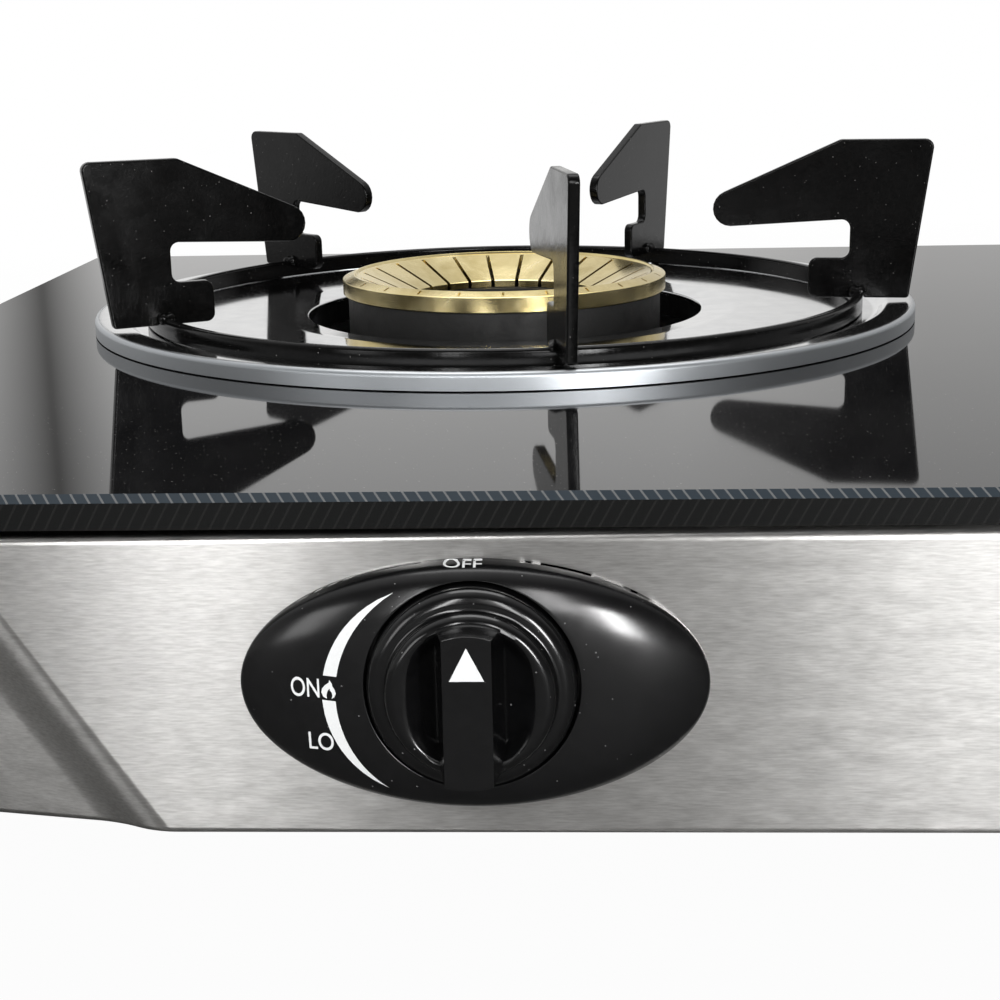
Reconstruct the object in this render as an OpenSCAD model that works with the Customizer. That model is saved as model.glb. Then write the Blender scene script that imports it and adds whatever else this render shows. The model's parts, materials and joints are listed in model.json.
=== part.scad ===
// Two-burner gas cooktop: glass top, brushed steel front, two brass burners with pan supports.
// Millimetres. +Z up, the controls face -Y, origin on the ground under the middle of the whole.

/* [Glass top] */
// Width of the glass plate
glass_w = 710; // [680:1:760]
// Depth of the glass plate
glass_d = 378; // [360:1:420]
// Thickness of the glass plate
glass_t = 7; // [5:0.5:10]
// Corner radius of the glass plate, seen from above
glass_corner_r = 10; // [4:1:20]
// Bevel along the top edges of the glass
glass_bevel = 1.5; // [0.5:0.1:2.5]
// Radius of the hole for a burner
glass_hole_r = 62; // [58:0.5:75]
// Thickness of the gasket under the glass
gasket_t = 1.8; // [0.5:0.1:2]
// Width of the gasket strip
gasket_w = 6; // [4:0.5:8]

/* [Front panel] */
// Height of the panel and of the body
panel_h = 64; // [60:1:80]
// Thickness of all sheet steel
sheet_t = 1; // [0.8:0.1:1.4]
// How far the panel's face stands behind the glass edge
panel_setback = 2; // [1:0.5:6]
// Depth of the panel's top and bottom flanges
panel_flange = 26; // [24:1:34]
// Half width of the raised face at the top
crease_top_x = 288.5; // [280:0.5:300]
// Half width of the raised face at the bottom
crease_bottom_x = 246; // [235:0.5:260]
// Angle at which the outer facets sweep back
sweep_angle = 14; // [8:0.5:15]

/* [Body] */
// Distance from the glass edge to the side of the body
body_inset = 16; // [10:1:24]
// Distance from the rear glass edge to the rear wall
rear_inset = 25; // [24:1:32]
// Width of the tray's top flange
tray_flange = 14; // [10:1:18]
// Gap at the seam between the panel and the tray
seam_gap = 0.2; // [0.1:0.05:0.4]
// Number of air slots in the floor under each burner tube
vent_count = 6; // [2:1:8]
// Length of an air slot
vent_l = 44; // [30:1:60]
// Width of an air slot
vent_w = 4; // [3:0.5:6]
// Height of the rubber feet
foot_h = 10; // [6:1:16]
// Radius of a foot at the ground
foot_r = 11; // [9:0.5:15]
// Distance from the body's edges to a foot's axis
foot_inset = 40; // [30:1:55]
// Shank radius of the foot screws
foot_screw_r = 2; // [1.5:0.1:2.5]
// Shank radius of the small screws
screw_r = 1.5; // [1.2:0.1:1.8]
// Radial clearance around screws
screw_clear = 0.1; // [0.05:0.05:0.2]

/* [Burners] */
// Distance between the two burner axes
burner_pitch = 364; // [340:1:380]
// Distance from the front glass edge to the burner axes
burner_from_front = 221.5; // [210:0.5:230]
// Gap under a piece that lifts off
lift_clear = 0.3; // [0.1:0.05:0.5]
// Outer radius of the brass cap
cap_r = 50.4; // [48:0.2:54]
// Height of the cap's outer wall
cap_wall_h = 4.6; // [4:0.1:6]
// Rise of the cap's sloped rim above its wall
cap_rim_rise = 1.4; // [0.8:0.1:2]
// Height of the cap's lower edge above the glass
cap_base_z = 7.4; // [6:0.1:10]
// Width of the cap's sloped rim
cap_rim_w = 3.4; // [2.5:0.1:4.5]
// Radius of the cap's open middle
cap_hole_r = 30; // [29.5:0.5:31.5]
// Drop of the cap's inner cone
cap_cone_drop = 6.6; // [4:0.1:7]
// Number of flame slots
slot_count = 24; // [12:1:30]
// Width of a flame slot
slot_w = 1.2; // [0.8:0.1:1.8]
// Turn of the first flame slot from the rear
slot_turn = -5.5; // [-7.5:0.5:7.5]
// Wall of the cast burner
casting_wall = 4; // [3:0.5:5]
// Radius of the open middle of the casting
casting_hole_r = 28; // [26:0.5:28.5]
// Depth of the casting below the glass top
casting_depth = 52; // [50:0.5:54]
// Outer radius of the mixing tube
tube_r = 10.5; // [10:0.5:12]
// Bore radius of the mixing tube
tube_bore_r = 8; // [7:0.5:8.5]
// Outer radius of the tube's mouth
mouth_r = 13; // [12.5:0.5:14.5]
// Bore radius of the tube's mouth
mouth_bore_r = 11; // [9.5:0.5:11]
// Length of the tube's mouth
mouth_l = 20; // [18:1:24]
// Thickness of the air shutter's sleeve
shutter_t = 1.2; // [0.8:0.1:1.6]
// Radial running clearance of turning pieces
run_clear = 0.05; // [0.02:0.01:0.1]

/* [Drip pan] */
// Outer radius of the drip pan
pan_r = 126; // [122:0.5:130]
// Height of the pan's rim above the glass
pan_rim_h = 4.9; // [4:0.1:6]
// Thickness of the pan's sheet
pan_t = 0.8; // [0.5:0.1:1]
// Clearance between the cap and the pan's hole
pan_hole_clear = 11; // [9:0.5:13]
// Radius at which the pan starts to slope down to its hole
pan_slope_r = 71.5; // [68:0.5:80]
// Drop of the pan's slope at its hole
pan_slope_drop = 0.9; // [0.4:0.1:1]
// Width of the pan's flat edge
pan_edge_w = 9; // [7:0.5:11]
// Depth of the pan's floor below its flat edge
dish_depth = 2.8; // [1.5:0.1:3]

/* [Pan support] */
// Distance from the pan's rim in to the middle of the support ring
ring_inset = 17; // [16:0.5:19]
// Thickness of the ring and of the arms
bar_t = 3; // [2:0.1:4]
// Height of the ring
ring_h = 5.4; // [5:0.1:8]
// Number of arms
arm_count = 5; // [3:1:6]
// Turn of the first arm from straight ahead
arm_turn = 10; // [0:1:30]
// Depth of the notch that seats an arm on the ring
notch_depth = 2.2; // [1.5:0.1:4]
// Height of an arm above the glass
arm_top = 52.6; // [46:0.1:60]
// Reach of an arm's top outside the ring
arm_top_out = 20.5; // [16:0.5:22]
// Reach of an arm's foot outside the ring
arm_foot_out = 15; // [11:0.5:18]
// Distance inside the ring at which an arm's level top ends
arm_level_in = 6; // [2:0.5:11]
// Radius of an arm's tip
arm_tip_r = 65; // [60:0.5:72]
// Height of the tip's upper corner above the glass
arm_tip_top = 37.7; // [34:0.1:44]
// Height of the tip's lower edge above the glass
arm_tip_bottom = 27; // [24:0.5:31]
// Distance of the inner side of an arm's upright inside the ring
upright_in = 3; // [2:0.5:5]
// Reach of the foot's tab inside the ring
tab_in = 15; // [11:0.5:18]
// Height of the tab's top above the glass
tab_top = 17.6; // [14:0.2:22]

/* [Controls] */
// Depth of a control's axis below the glass top
knob_drop = 37.5; // [34:0.1:38]
// Distance of a control's axis from its burner's axis, towards the middle
knob_shift = 2; // [0:0.5:4]
// Reach of a knob in front of the panel
knob_reach = 22; // [20:0.5:26]
// Radius of a knob's flange
knob_r = 20.6; // [19:0.1:21]
// Thickness of a knob's flange
knob_flange_t = 6.5; // [5:0.1:7]
// Radius of a knob's raised ring
knob_ring_r = 16.8; // [16:0.1:17.5]
// Width of a knob's grip bar at its root
grip_root_w = 13.5; // [12:0.5:15]
// Width of a knob's grip bar at its front
grip_front_w = 9.3; // [9:0.1:11]
// Radius of the round ends of a knob's grip bar
grip_end_r = 15.4; // [14:0.1:15.8]
// Width of the finger scoop at each side of a grip bar
scoop_w = 4.5; // [3:0.1:5]
// Depth of a finger scoop
scoop_depth = 3.5; // [2:0.1:4]
// How far a knob can be pushed in
push_travel = 3; // [2:0.5:4]
// Length of the oval bezel
bezel_l = 93.4; // [84:0.1:100]
// Height of the oval bezel
bezel_h = 51.6; // [50:0.1:56]
// Depth of the bezel's middle below the control's axis
bezel_drop = 1.9; // [0:0.1:3]
// Height of the bezel's dome
bezel_dome = 9.5; // [8:0.5:12]
// Height of the bezel at its two ends
bezel_end = 3; // [2:0.5:5]
// Depth of bezel left under the knob's well
bezel_floor = 1; // [0.8:0.1:2]
// Gap around the knob in its well
well_clear = 0.9; // [0.5:0.1:1.5]
// Radius of the valve stem
stem_r = 4; // [3:0.5:4.5]
// Width of the square valve body
valve_w = 26; // [25:0.5:30]
// Radius of the valve plug
plug_r = 8; // [7:0.5:8.5]
// Length of the valve plug
plug_l = 13.7; // [12:0.1:15]
// Length of the stem spring at rest
spring_l = 11; // [9:0.5:13]
// Thickness of the valve cover
cover_t = 4; // [3:0.5:5]
// Distance from the panel's face to the valve cover
cover_back = 12; // [10:0.5:14]

/* [Gas supply] */
// Outer radius of the manifold pipe
manifold_r = 7; // [6:0.5:8]
// Wall of the gas pipes
pipe_wall = 1.5; // [1:0.1:2]
// Outer radius of the supply pipe
supply_r = 5; // [4:0.5:6]
// Radius of the inlet's outside thread
inlet_r = 7.94; // [6:0.01:8]
// Length of the inlet's outside thread
inlet_l = 17; // [14:0.5:17]
// Thickness of the inlet's lock nut
nut_t = 5; // [4:0.5:5]

/* [Hidden] */
$fn = 64;
left = -1;
right = 1;
eps = 0.5;
big = 200;
body_w = glass_w - 2 * body_inset;
knob_proud = knob_reach - panel_setback;
overall_d = glass_d + knob_proud;
glass_front = -overall_d / 2 + knob_proud;
glass_rear = overall_d / 2;
panel_y = glass_front + panel_setback;
rear_y = glass_rear - rear_inset;
tray_front = panel_y + panel_flange + seam_gap;
floor_z = foot_h + sheet_t;
body_top = foot_h + panel_h;
glass_top_z = body_top + gasket_t + glass_t;
burner_x = burner_pitch / 2;
burner_y = glass_front + burner_from_front;
knob_x = burner_x - knob_shift;
knob_z = glass_top_z - knob_drop;
lip_l = 16;
lip_side = 20;
lip_root = 8;
lip_w = 2 * (crease_bottom_x - lip_side);
panel_screw_inset = 10;
panel_screw_head = 2;
panel_screw_l = 6;
vent_step = 2.5 * vent_w;
vent_y = -(burner_from_front + vent_count * vent_step) / 2;

// Support radii, from the burner's axis
ring_r = pan_r - ring_inset;
arm_out_top = ring_r + arm_top_out;
arm_out_foot = ring_r + arm_foot_out;
arm_level_r = ring_r - arm_level_in;
upright_r = ring_r - upright_in;
tab_r = ring_r - tab_in;

// Pan and support heights, above the glass
dish_z = pan_rim_h - dish_depth;
dish_out = pan_r - pan_edge_w;
dish_slope = 2.5;
pan_hole_r = cap_r + pan_hole_clear;
pan_hole_z = dish_z - pan_slope_drop;
ring_z = dish_z + lift_clear;
ring_top = ring_z + ring_h;
foot_z = ring_top - notch_depth;
notch_clear = 0.1;
arm_corner_r = 2.5;

// Cap and casting, above the glass
cap_wall_top = cap_base_z + cap_wall_h;
cap_top = cap_wall_top + cap_rim_rise;
cap_step = 0.8;
cone_r = cap_r - cap_rim_w - 2 * cap_step;
cone_top = cap_top - cap_step;
cone_bottom = cone_top - cap_cone_drop;
cap_t = 2.3;
casting_in = 1.6;
casting_r = cap_r - casting_in;
casting_top = cap_base_z - lift_clear;
trough_out = casting_r - casting_wall;
trough_in = casting_hole_r + casting_wall;
spigot_t = 3.4;
spigot_r = trough_out - lift_clear;
neck_z = -8;
neck_drop = 6.5;
low_r = casting_r - neck_drop;
shoulder_l = 3;
casting_floor_z = glass_top_z - casting_depth;
bracket_t = 1.5;
bracket_w = 40;
bracket_l = 120;
bracket_foot = 12;
electrode_r = 2.2;

// Control stack, measured outwards from the panel's face
cover_z = -cover_back - cover_t;
collar_t = 2;
collar_r = 6.5;
collar_z = cover_z - 0.1 - collar_t;
plug_z = collar_z - 0.3 - spring_l - 0.3;
cavity_end = plug_z - plug_l - 0.3;
valve_end = cavity_end - 6;
nose_r = 8;
nose_hole_r = nose_r + 1;
nose_end = 0.5;
flange_z = bezel_floor + push_travel + 0.5;
stem_end = flange_z + 14;
flange_round = 3;
ring_round = 1.5;
knob_ring_h = 3.5;
tang_t = 2;
tang_w = 7;
tang_end = plug_z - 4;
jet_hex_r = 6;
jet_hex_t = 5;
jet_l = 14;
jet_reach = 2;
tube_y0 = panel_setback - burner_from_front - valve_end + jet_l - jet_reach;
screw_at = valve_w / 2 - 3.5;
clamp_h = 8.6;
clamp_w = 14;
clamp_edge = 3;
clamp_gap = 0.3;
clamp_bolt_z = manifold_r + screw_r + 2;
manifold_drop = valve_w / 2 + manifold_r + 0.05;
manifold_back = -(cover_z + valve_end) / 2;
manifold_y = panel_y + manifold_back;
manifold_z = knob_z - manifold_drop;
manifold_over = 40;
manifold_l = 2 * (knob_x + manifold_over);
port_r = 3;
inlet_hex_l = 12;
neck_r = inlet_r + 1.8;
neck_l = nut_t + 1;
inlet_collar_t = 4;
inlet_back = -sheet_t - inlet_hex_l - inlet_collar_t;
piezo_w = 18;
piezo_h = 22;
piezo_gap = 0.2;
piezo_x = valve_w / 2 + piezo_gap + piezo_w / 2;
lead_r = 1.8;

// The ignition lead's route, from the igniter's terminal: x and y from the control's axis, z from the floor
lead_z = knob_z - floor_z;
lead_route = [
    [22, 52, lead_z], [22, 58, lead_z], [22.5, 66, lead_z - 2], [23.5, 76, lead_z - 10],
    [24, 86, lead_z - 19], [24, 96, 8.8], [24, 108, 6.2], [24, 140, 6], [24, 180, 6],
    [23.5, 196, 6], [20, 208, 6], [13, 216, 6], [5, 219.2, 6.3], [-0.2, 219.5, 7.8],
    [-2, 219.5, 10.4], [-2, 219.5, 13]
];

// Points on an arc, from angle a0 to a1
function arc(x, y, r, a0, a1, steps = 5) =
    [for (i = [0:steps]) let (a = a0 + (a1 - a0) * i / steps) [x + r * cos(a), y + r * sin(a)]];

// Points on an ellipse
function ellipse(a, b, steps = 96) =
    [for (i = [0:steps - 1]) [a * cos(360 * i / steps), b * sin(360 * i / steps)]];

// A round tube swept along a route whose direction never turns straight back
module swept_tube(route, r, sides = 8) {
    last = len(route) - 1;
    heads = [for (i = [0:last]) route[min(i + 1, last)] - route[max(i - 1, 0)]];
    sides_dir = [for (h = heads) let (s = cross(h, [0.3, 0.1, 1])) s / norm(s)];
    ups = [for (i = [0:last]) let (u = cross(sides_dir[i], heads[i])) u / norm(u)];
    points = [for (i = [0:last], k = [0:sides - 1])
        route[i] + r * cos(360 * k / sides) * sides_dir[i] + r * sin(360 * k / sides) * ups[i]];
    walls = [for (i = [0:last - 1], k = [0:sides - 1])
        let (a = i * sides + k, b = i * sides + (k + 1) % sides) each [[a, b, b + sides],
            [a, b + sides, a + sides]]];
    start_cap = [for (k = [1:sides - 2]) [0, k + 1, k]];
    end_cap = [for (k = [1:sides - 2]) [last * sides, last * sides + k, last * sides + k + 1]];
    polyhedron(points = points, faces = [for (f = concat(walls, start_cap, end_cap)) [f[0], f[2], f[1]]]);
}

// Turns the left-hand children over for the right-hand side
module on_side(side) {
    mirror([side == right ? 1 : 0, 0, 0]) children();
}

// Places children on the ground under a burner's axis
module under_burner(side) {
    on_side(side) translate([-burner_x, burner_y, 0]) children();
}

// Places children on a burner's axis, at the height of the glass top
module at_burner(side) {
    under_burner(side) translate([0, 0, glass_top_z]) children();
}

// Places children on a control's axis at the panel's face, with +Z towards the user and +Y up
module at_control(side) {
    on_side(side) translate([-knob_x, panel_y, knob_z]) rotate([90, 0, 0]) children();
}

// Places children at the mouth of a mixing tube, on its axis
module at_mouth(side) {
    at_burner(side) translate([knob_shift, tube_y0, knob_z - glass_top_z]) children();
}

// Places children at the four feet
module at_feet() {
    for (x = [-1, 1], y = [tray_front + foot_inset, rear_y - foot_inset])
        translate([x * (body_w / 2 - foot_inset), y, 0]) children();
}

// Places children at the screws that join the panel to the tray
module at_panel_screws() {
    for (x = [-1, -1 / 3, 1 / 3, 1])
        translate([x * (lip_w / 2 - panel_screw_inset), panel_y + panel_flange - lip_l / 2, 0]) children();
}

module glass_top() {
    color([0.05, 0.05, 0.06]) translate([0, (glass_front + glass_rear) / 2, glass_top_z - glass_t])
        difference() {
            intersection() {
                rotate([90, 0, 0]) linear_extrude(glass_d, center = true) bevelled(glass_w);
                rotate([90, 0, 90]) linear_extrude(glass_w, center = true) bevelled(glass_d);
                rounded_plate(glass_w, glass_d, glass_t, glass_corner_r);
            }
            for (side = [left, right])
                translate([side * burner_x, burner_y - (glass_front + glass_rear) / 2, -eps])
                    cylinder(r = glass_hole_r, h = glass_t + 2 * eps);
        }
}

// Section of the glass with both top edges bevelled
module bevelled(w) {
    polygon([[-w / 2, 0], [w / 2, 0], [w / 2, glass_t - glass_bevel], [w / 2 - glass_bevel, glass_t],
        [-w / 2 + glass_bevel, glass_t], [-w / 2, glass_t - glass_bevel]]);
}

module rounded_plate(w, d, h, r) {
    for (x = [-1, 1], y = [-1, 1])
        translate([x * (w / 2 - r), y * (d / 2 - r), 0]) cylinder(r = r, h = h);
    translate([-w / 2 + r, -d / 2, 0]) cube([w - 2 * r, d, h]);
    translate([-w / 2, -d / 2 + r, 0]) cube([w, d - 2 * r, h]);
}

module glass_gasket() {
    outer_w = body_w - 4;
    front = panel_y + panel_flange - gasket_w - 1;
    depth = rear_y - 2 - front;
    color([0.1, 0.1, 0.1]) translate([0, front, body_top])
        difference() {
            translate([-outer_w / 2, 0, 0]) cube([outer_w, depth, gasket_t]);
            translate([-outer_w / 2 + gasket_w, gasket_w, -eps])
                cube([outer_w - 2 * gasket_w, depth - 2 * gasket_w, gasket_t + 2 * eps]);
        }
}

// The space behind the panel's outer faces, moved in by some distance
module panel_form(inset, back) {
    difference() {
        translate([-body_w / 2 + inset, panel_y + inset, foot_h + inset])
            cube([body_w - 2 * inset, panel_flange - inset + back, panel_h - 2 * inset]);
        for (side = [0, 1])
            mirror([side, 0, 0]) facet_cutter(inset);
    }
}

// Everything in front of the right-hand facet
module facet_cutter(inset) {
    lean = atan2(crease_top_x - crease_bottom_x, panel_h);
    translate([crease_bottom_x - inset * tan(sweep_angle / 2), panel_y + inset, foot_h])
        rotate([0, lean, 0]) rotate([0, 0, sweep_angle])
            translate([0, -big, -big]) cube([big, big, 2 * big]);
}

module front_panel() {
    color([0.75, 0.74, 0.72])
        difference() {
            panel_form(0, 0);
            panel_form(sheet_t, eps);
            for (side = [left, right])
                at_control(side) translate([0, 0, -2 * sheet_t]) cylinder(r = nose_hole_r, h = 3 * sheet_t);
            at_panel_screws() translate([0, 0, foot_h - eps])
                cylinder(r = screw_r + screw_clear, h = sheet_t + 2 * eps);
        }
}

module body_tray() {
    depth = rear_y - tray_front;
    color([0.62, 0.62, 0.63])
        difference() {
            union() {
                difference() {
                    translate([-body_w / 2, tray_front, foot_h]) cube([body_w, depth, panel_h]);
                    translate([-body_w / 2 + sheet_t, tray_front - eps, floor_z])
                        cube([body_w - 2 * sheet_t, depth - sheet_t + eps, panel_h - 2 * sheet_t]);
                    translate([-body_w / 2 + tray_flange, tray_front - eps, floor_z])
                        cube([body_w - 2 * tray_flange, depth - tray_flange + eps, panel_h]);
                }
                translate([-lip_w / 2, panel_y + panel_flange - lip_l, floor_z])
                    cube([lip_w, lip_l + lip_root, sheet_t]);
            }
            at_feet() translate([0, 0, foot_h - eps])
                cylinder(r = foot_screw_r + screw_clear, h = sheet_t + 2 * eps);
            at_panel_screws() translate([0, 0, floor_z - eps])
                cylinder(r = screw_r + screw_clear, h = sheet_t + 2 * eps);
            for (side = [left, right]) {
                at_bracket_feet(side) translate([0, 0, foot_h - eps])
                    cylinder(r = screw_r + screw_clear, h = sheet_t + 2 * eps);
                under_burner(side) for (i = [0:vent_count - 1])
                    translate([-vent_l / 2, vent_y + i * vent_step, foot_h - eps])
                        cube([vent_l, vent_w, sheet_t + 2 * eps]);
            }
            translate([0, rear_y + eps, manifold_z]) rotate([90, 0, 0])
                cylinder(r = neck_r + screw_clear, h = sheet_t + 2 * eps);
        }
}

module rubber_feet() {
    color([0.08, 0.08, 0.08])
        at_feet() difference() {
            cylinder(r1 = foot_r, r2 = foot_r + 2, h = foot_h);
            translate([0, 0, -eps]) cylinder(r = 2.5 * foot_screw_r, h = foot_h / 2 + eps);
            translate([0, 0, -eps]) cylinder(r = foot_screw_r + screw_clear, h = foot_h + 2 * eps);
        }
}

module foot_screws() {
    color([0.7, 0.7, 0.7])
        at_feet() {
            translate([0, 0, foot_h / 2 - foot_screw_r]) cylinder(r = 2 * foot_screw_r, h = foot_screw_r);
            translate([0, 0, foot_h / 2 - eps])
                cylinder(r = foot_screw_r, h = foot_h / 2 + sheet_t + 4 + eps);
            translate([0, 0, floor_z]) difference() {
                cylinder(r = 2 * foot_screw_r, h = 1.5 * foot_screw_r, $fn = 6);
                translate([0, 0, -eps])
                    cylinder(r = foot_screw_r + screw_clear, h = 2 * foot_screw_r + 2 * eps);
            }
        }
}

module panel_screws() {
    color([0.7, 0.7, 0.7])
        at_panel_screws() {
            translate([0, 0, foot_h - panel_screw_head]) cylinder(r = 2 * screw_r, h = panel_screw_head);
            translate([0, 0, foot_h - eps]) cylinder(r = screw_r, h = panel_screw_l + eps);
        }
}

module manifold_pipe() {
    color([0.7, 0.7, 0.7]) translate([0, manifold_y, manifold_z])
        difference() {
            rotate([0, 90, 0]) cylinder(r = manifold_r, h = manifold_l, center = true);
            rotate([0, 90, 0]) cylinder(r = manifold_r - pipe_wall, h = manifold_l + 2 * eps, center = true);
            for (side = [left, right])
                translate([side * knob_x, 0, 0]) cylinder(r = port_r, h = manifold_r + eps);
            rotate([-90, 0, 0]) cylinder(r = supply_r - pipe_wall, h = manifold_r + eps);
        }
}

module manifold_plugs() {
    color([0.8, 0.68, 0.35])
        for (side = [left, right])
            translate([side * manifold_l / 2, manifold_y, manifold_z]) rotate([0, side * 90, 0]) {
                cylinder(r = manifold_r + 2, h = 5, $fn = 6);
                translate([0, 0, -8]) cylinder(r = manifold_r - pipe_wall - 0.05, h = 8 + eps);
            }
}

module supply_pipe() {
    start = manifold_y + manifold_r + 0.05;
    color([0.72, 0.45, 0.3]) translate([0, start, manifold_z]) rotate([-90, 0, 0])
        difference() {
            cylinder(r = supply_r, h = rear_y + inlet_back - start);
            translate([0, 0, -eps]) cylinder(r = supply_r - pipe_wall, h = rear_y - start);
        }
}

module gas_inlet() {
    color([0.8, 0.68, 0.35]) translate([0, rear_y, manifold_z]) rotate([-90, 0, 0])
        difference() {
            union() {
                translate([0, 0, inlet_back]) cylinder(r = inlet_r, h = inlet_hex_l, $fn = 6);
                translate([0, 0, inlet_back + inlet_hex_l]) cylinder(r = neck_r + 2.5, h = inlet_collar_t);
                translate([0, 0, -sheet_t - eps]) cylinder(r = neck_r - 0.1, h = sheet_t + neck_l + eps);
                translate([0, 0, neck_l - eps]) cylinder(r = inlet_r, h = inlet_l + eps);
            }
            translate([0, 0, inlet_back - eps])
                cylinder(r = supply_r - pipe_wall, h = inlet_l + neck_l + 1 - inlet_back);
        }
}

module inlet_nut() {
    color([0.8, 0.68, 0.35]) translate([0, rear_y, manifold_z]) rotate([-90, 0, 0])
        difference() {
            cylinder(r = neck_r + 5, h = nut_t, $fn = 6);
            translate([0, 0, -eps]) cylinder(r = neck_r, h = nut_t + 2 * eps);
        }
}

module drip_pan(side) {
    top = concat(
        [[pan_r, lift_clear]],
        arc(pan_r - 1.4, pan_rim_h - 1.4, 1.4, 0, 90, 4),
        [[dish_out, pan_rim_h - 0.2], [dish_out - dish_slope, dish_z], [pan_slope_r, dish_z],
            [pan_hole_r, pan_hole_z]]);
    under = [[pan_hole_r, pan_hole_z - pan_t], [pan_slope_r, dish_z - pan_t],
        [dish_out - dish_slope + 0.3, dish_z - pan_t], [dish_out + 0.3, pan_rim_h - 0.2 - pan_t],
        [pan_r - 1.4, pan_rim_h - pan_t],
        [pan_r - pan_t, pan_rim_h - 1.4],
        [pan_r - pan_t, lift_clear]];
    color([0.82, 0.82, 0.83]) at_burner(side) rotate_extrude($fn = 128) polygon(concat(top, under));
}

module support_ring(side) {
    inner = ring_r - bar_t / 2;
    round_r = 0.8;
    color([0.06, 0.06, 0.06]) at_burner(side) rotate_extrude($fn = 128)
        polygon(concat([[inner, ring_z], [inner + bar_t, ring_z]],
            arc(inner + bar_t - round_r, ring_top - round_r, round_r, 0, 90, 3),
            arc(inner + round_r, ring_top - round_r, round_r, 90, 180, 3)));
}

// Side view of an arm: radius across, height above the glass up
module arm_outline() {
    c = arm_corner_r;
    tip = (arm_tip_top - arm_tip_bottom) / 2;
    slope = atan2(arm_top - arm_tip_top, arm_level_r - arm_tip_r - 3);
    polygon(concat(
        arc(arm_out_foot - 1, foot_z + 1, 1, -90, 0, 3),
        arc(arm_out_top - c, arm_top - c, c, 0, 90, 4),
        arc(arm_level_r, arm_top - c, c, 90, 90 + slope, 2),
        arc(arm_tip_r + tip, arm_tip_bottom + tip, tip, 90 + slope, 270, 8),
        arc(upright_r - c, arm_tip_bottom + 2 - c, c, 90, 0, 4),
        arc(upright_r - c, tab_top + c, c, 0, -90, 4),
        arc(tab_r + c, tab_top - c, c, 90, 180, 4),
        arc(tab_r + c, foot_z + c, c, 180, 270, 4)));
}

module support_arms(side) {
    notch = bar_t + 2 * notch_clear;
    color([0.06, 0.06, 0.06]) at_burner(side)
        for (i = [0:arm_count - 1])
            rotate([0, 0, -90 + arm_turn + i * 360 / arm_count])
                difference() {
                    rotate([90, 0, 0]) linear_extrude(bar_t, center = true) arm_outline();
                    translate([0, 0, foot_z - eps]) rotate_extrude()
                        translate([ring_r - notch / 2, 0]) square([notch, notch_depth + eps + notch_clear]);
                }
}

module burner_cap(side) {
    color([0.85, 0.72, 0.38]) at_burner(side)
        difference() {
            rotate_extrude($fn = 128)
                polygon([[cap_r, cap_base_z], [cap_r, cap_wall_top], [cap_r - cap_rim_w, cap_top],
                    [cap_r - cap_rim_w - cap_step, cone_top], [cone_r, cone_top], [cap_hole_r, cone_bottom],
                    [cap_hole_r, cone_bottom - cap_t], [spigot_r - spigot_t, cap_base_z - lift_clear],
                    [spigot_r - spigot_t, cap_base_z - 3], [spigot_r, cap_base_z - 3],
                    [spigot_r, cap_base_z]]);
            for (i = [0:slot_count - 1])
                rotate([0, 0, 90 + slot_turn + i * 360 / slot_count])
                    translate([cap_hole_r - 2, -slot_w / 2, cone_bottom - cap_t - 1])
                        cube([cone_r - cap_hole_r + 1.4, slot_w, cap_cone_drop + cap_t + 1.5]);
        }
}

module burner_body(side) {
    color([0.12, 0.12, 0.12])
        difference() {
            union() {
                difference() {
                    union() {
                        at_burner(side) rotate_extrude() polygon([[0, -casting_depth],
                            [low_r, -casting_depth],
                            [low_r, neck_z - neck_drop], [casting_r, neck_z], [casting_r, casting_top],
                            [0, casting_top]]);
                        at_mouth(side) rotate([-90, 0, 0]) {
                            cylinder(r = tube_r, h = -low_r + casting_wall - tube_y0);
                            cylinder(r = mouth_r, h = mouth_l);
                            translate([0, 0, mouth_l - shoulder_l])
                                cylinder(r = mouth_r + shutter_t, h = shoulder_l);
                        }
                    }
                    at_burner(side) rotate_extrude() polygon([[0, casting_wall - casting_depth],
                        [low_r - casting_wall, casting_wall - casting_depth],
                        [low_r - casting_wall, neck_z - neck_drop + 2],
                        [trough_out, neck_z + 2], [trough_out, casting_top + 1], [0, casting_top + 1]]);
                }
                at_burner(side) translate([0, 0, -casting_depth])
                    cylinder(r = trough_in, h = casting_depth + cone_bottom - cap_t - lift_clear);
            }
            at_burner(side) translate([0, 0, -casting_depth - eps]) cylinder(r = casting_hole_r, h = big);
            at_mouth(side) rotate([-90, 0, 0]) translate([0, 0, -eps]) {
                cylinder(r = tube_bore_r, h = -low_r + casting_wall + 2 - tube_y0);
                cylinder(r = mouth_bore_r, h = mouth_l - shoulder_l);
            }
            at_mouth(side) air_windows();
            under_burner(side) at_casting_screws() cylinder(r = screw_r + screw_clear, h = 3);
        }
}

// Places children where the bracket's screws enter the casting
module at_casting_screws() {
    for (y = [-1, 1])
        translate([0, y * (trough_in + 4), casting_floor_z]) children();
}

// Two windows that let air into the mouth of the tube, at its sides
module air_windows() {
    translate([-mouth_r - 4, 4, -4.5]) cube([2 * mouth_r + 8, 8, 9]);
}

module air_shutter(side) {
    color([0.7, 0.7, 0.7]) at_mouth(side)
        difference() {
            union() {
                translate([0, 1, 0]) rotate([-90, 0, 0])
                    cylinder(r = mouth_r + run_clear + shutter_t, h = mouth_l - shoulder_l - 1 - lift_clear);
                translate([-1.5, 3, -mouth_r - 9]) cube([3, 10, 9]);
            }
            rotate([-90, 0, 0]) translate([0, 0, -eps])
                cylinder(r = mouth_r + run_clear, h = mouth_l + 2 * eps);
            air_windows();
        }
}

// Places children on the ground at the screws of a bracket's feet
module at_bracket_feet(side) {
    under_burner(side) for (y = [-1, 1])
        translate([0, y * (bracket_l / 2 + bracket_foot / 2), 0]) children();
}

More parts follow.
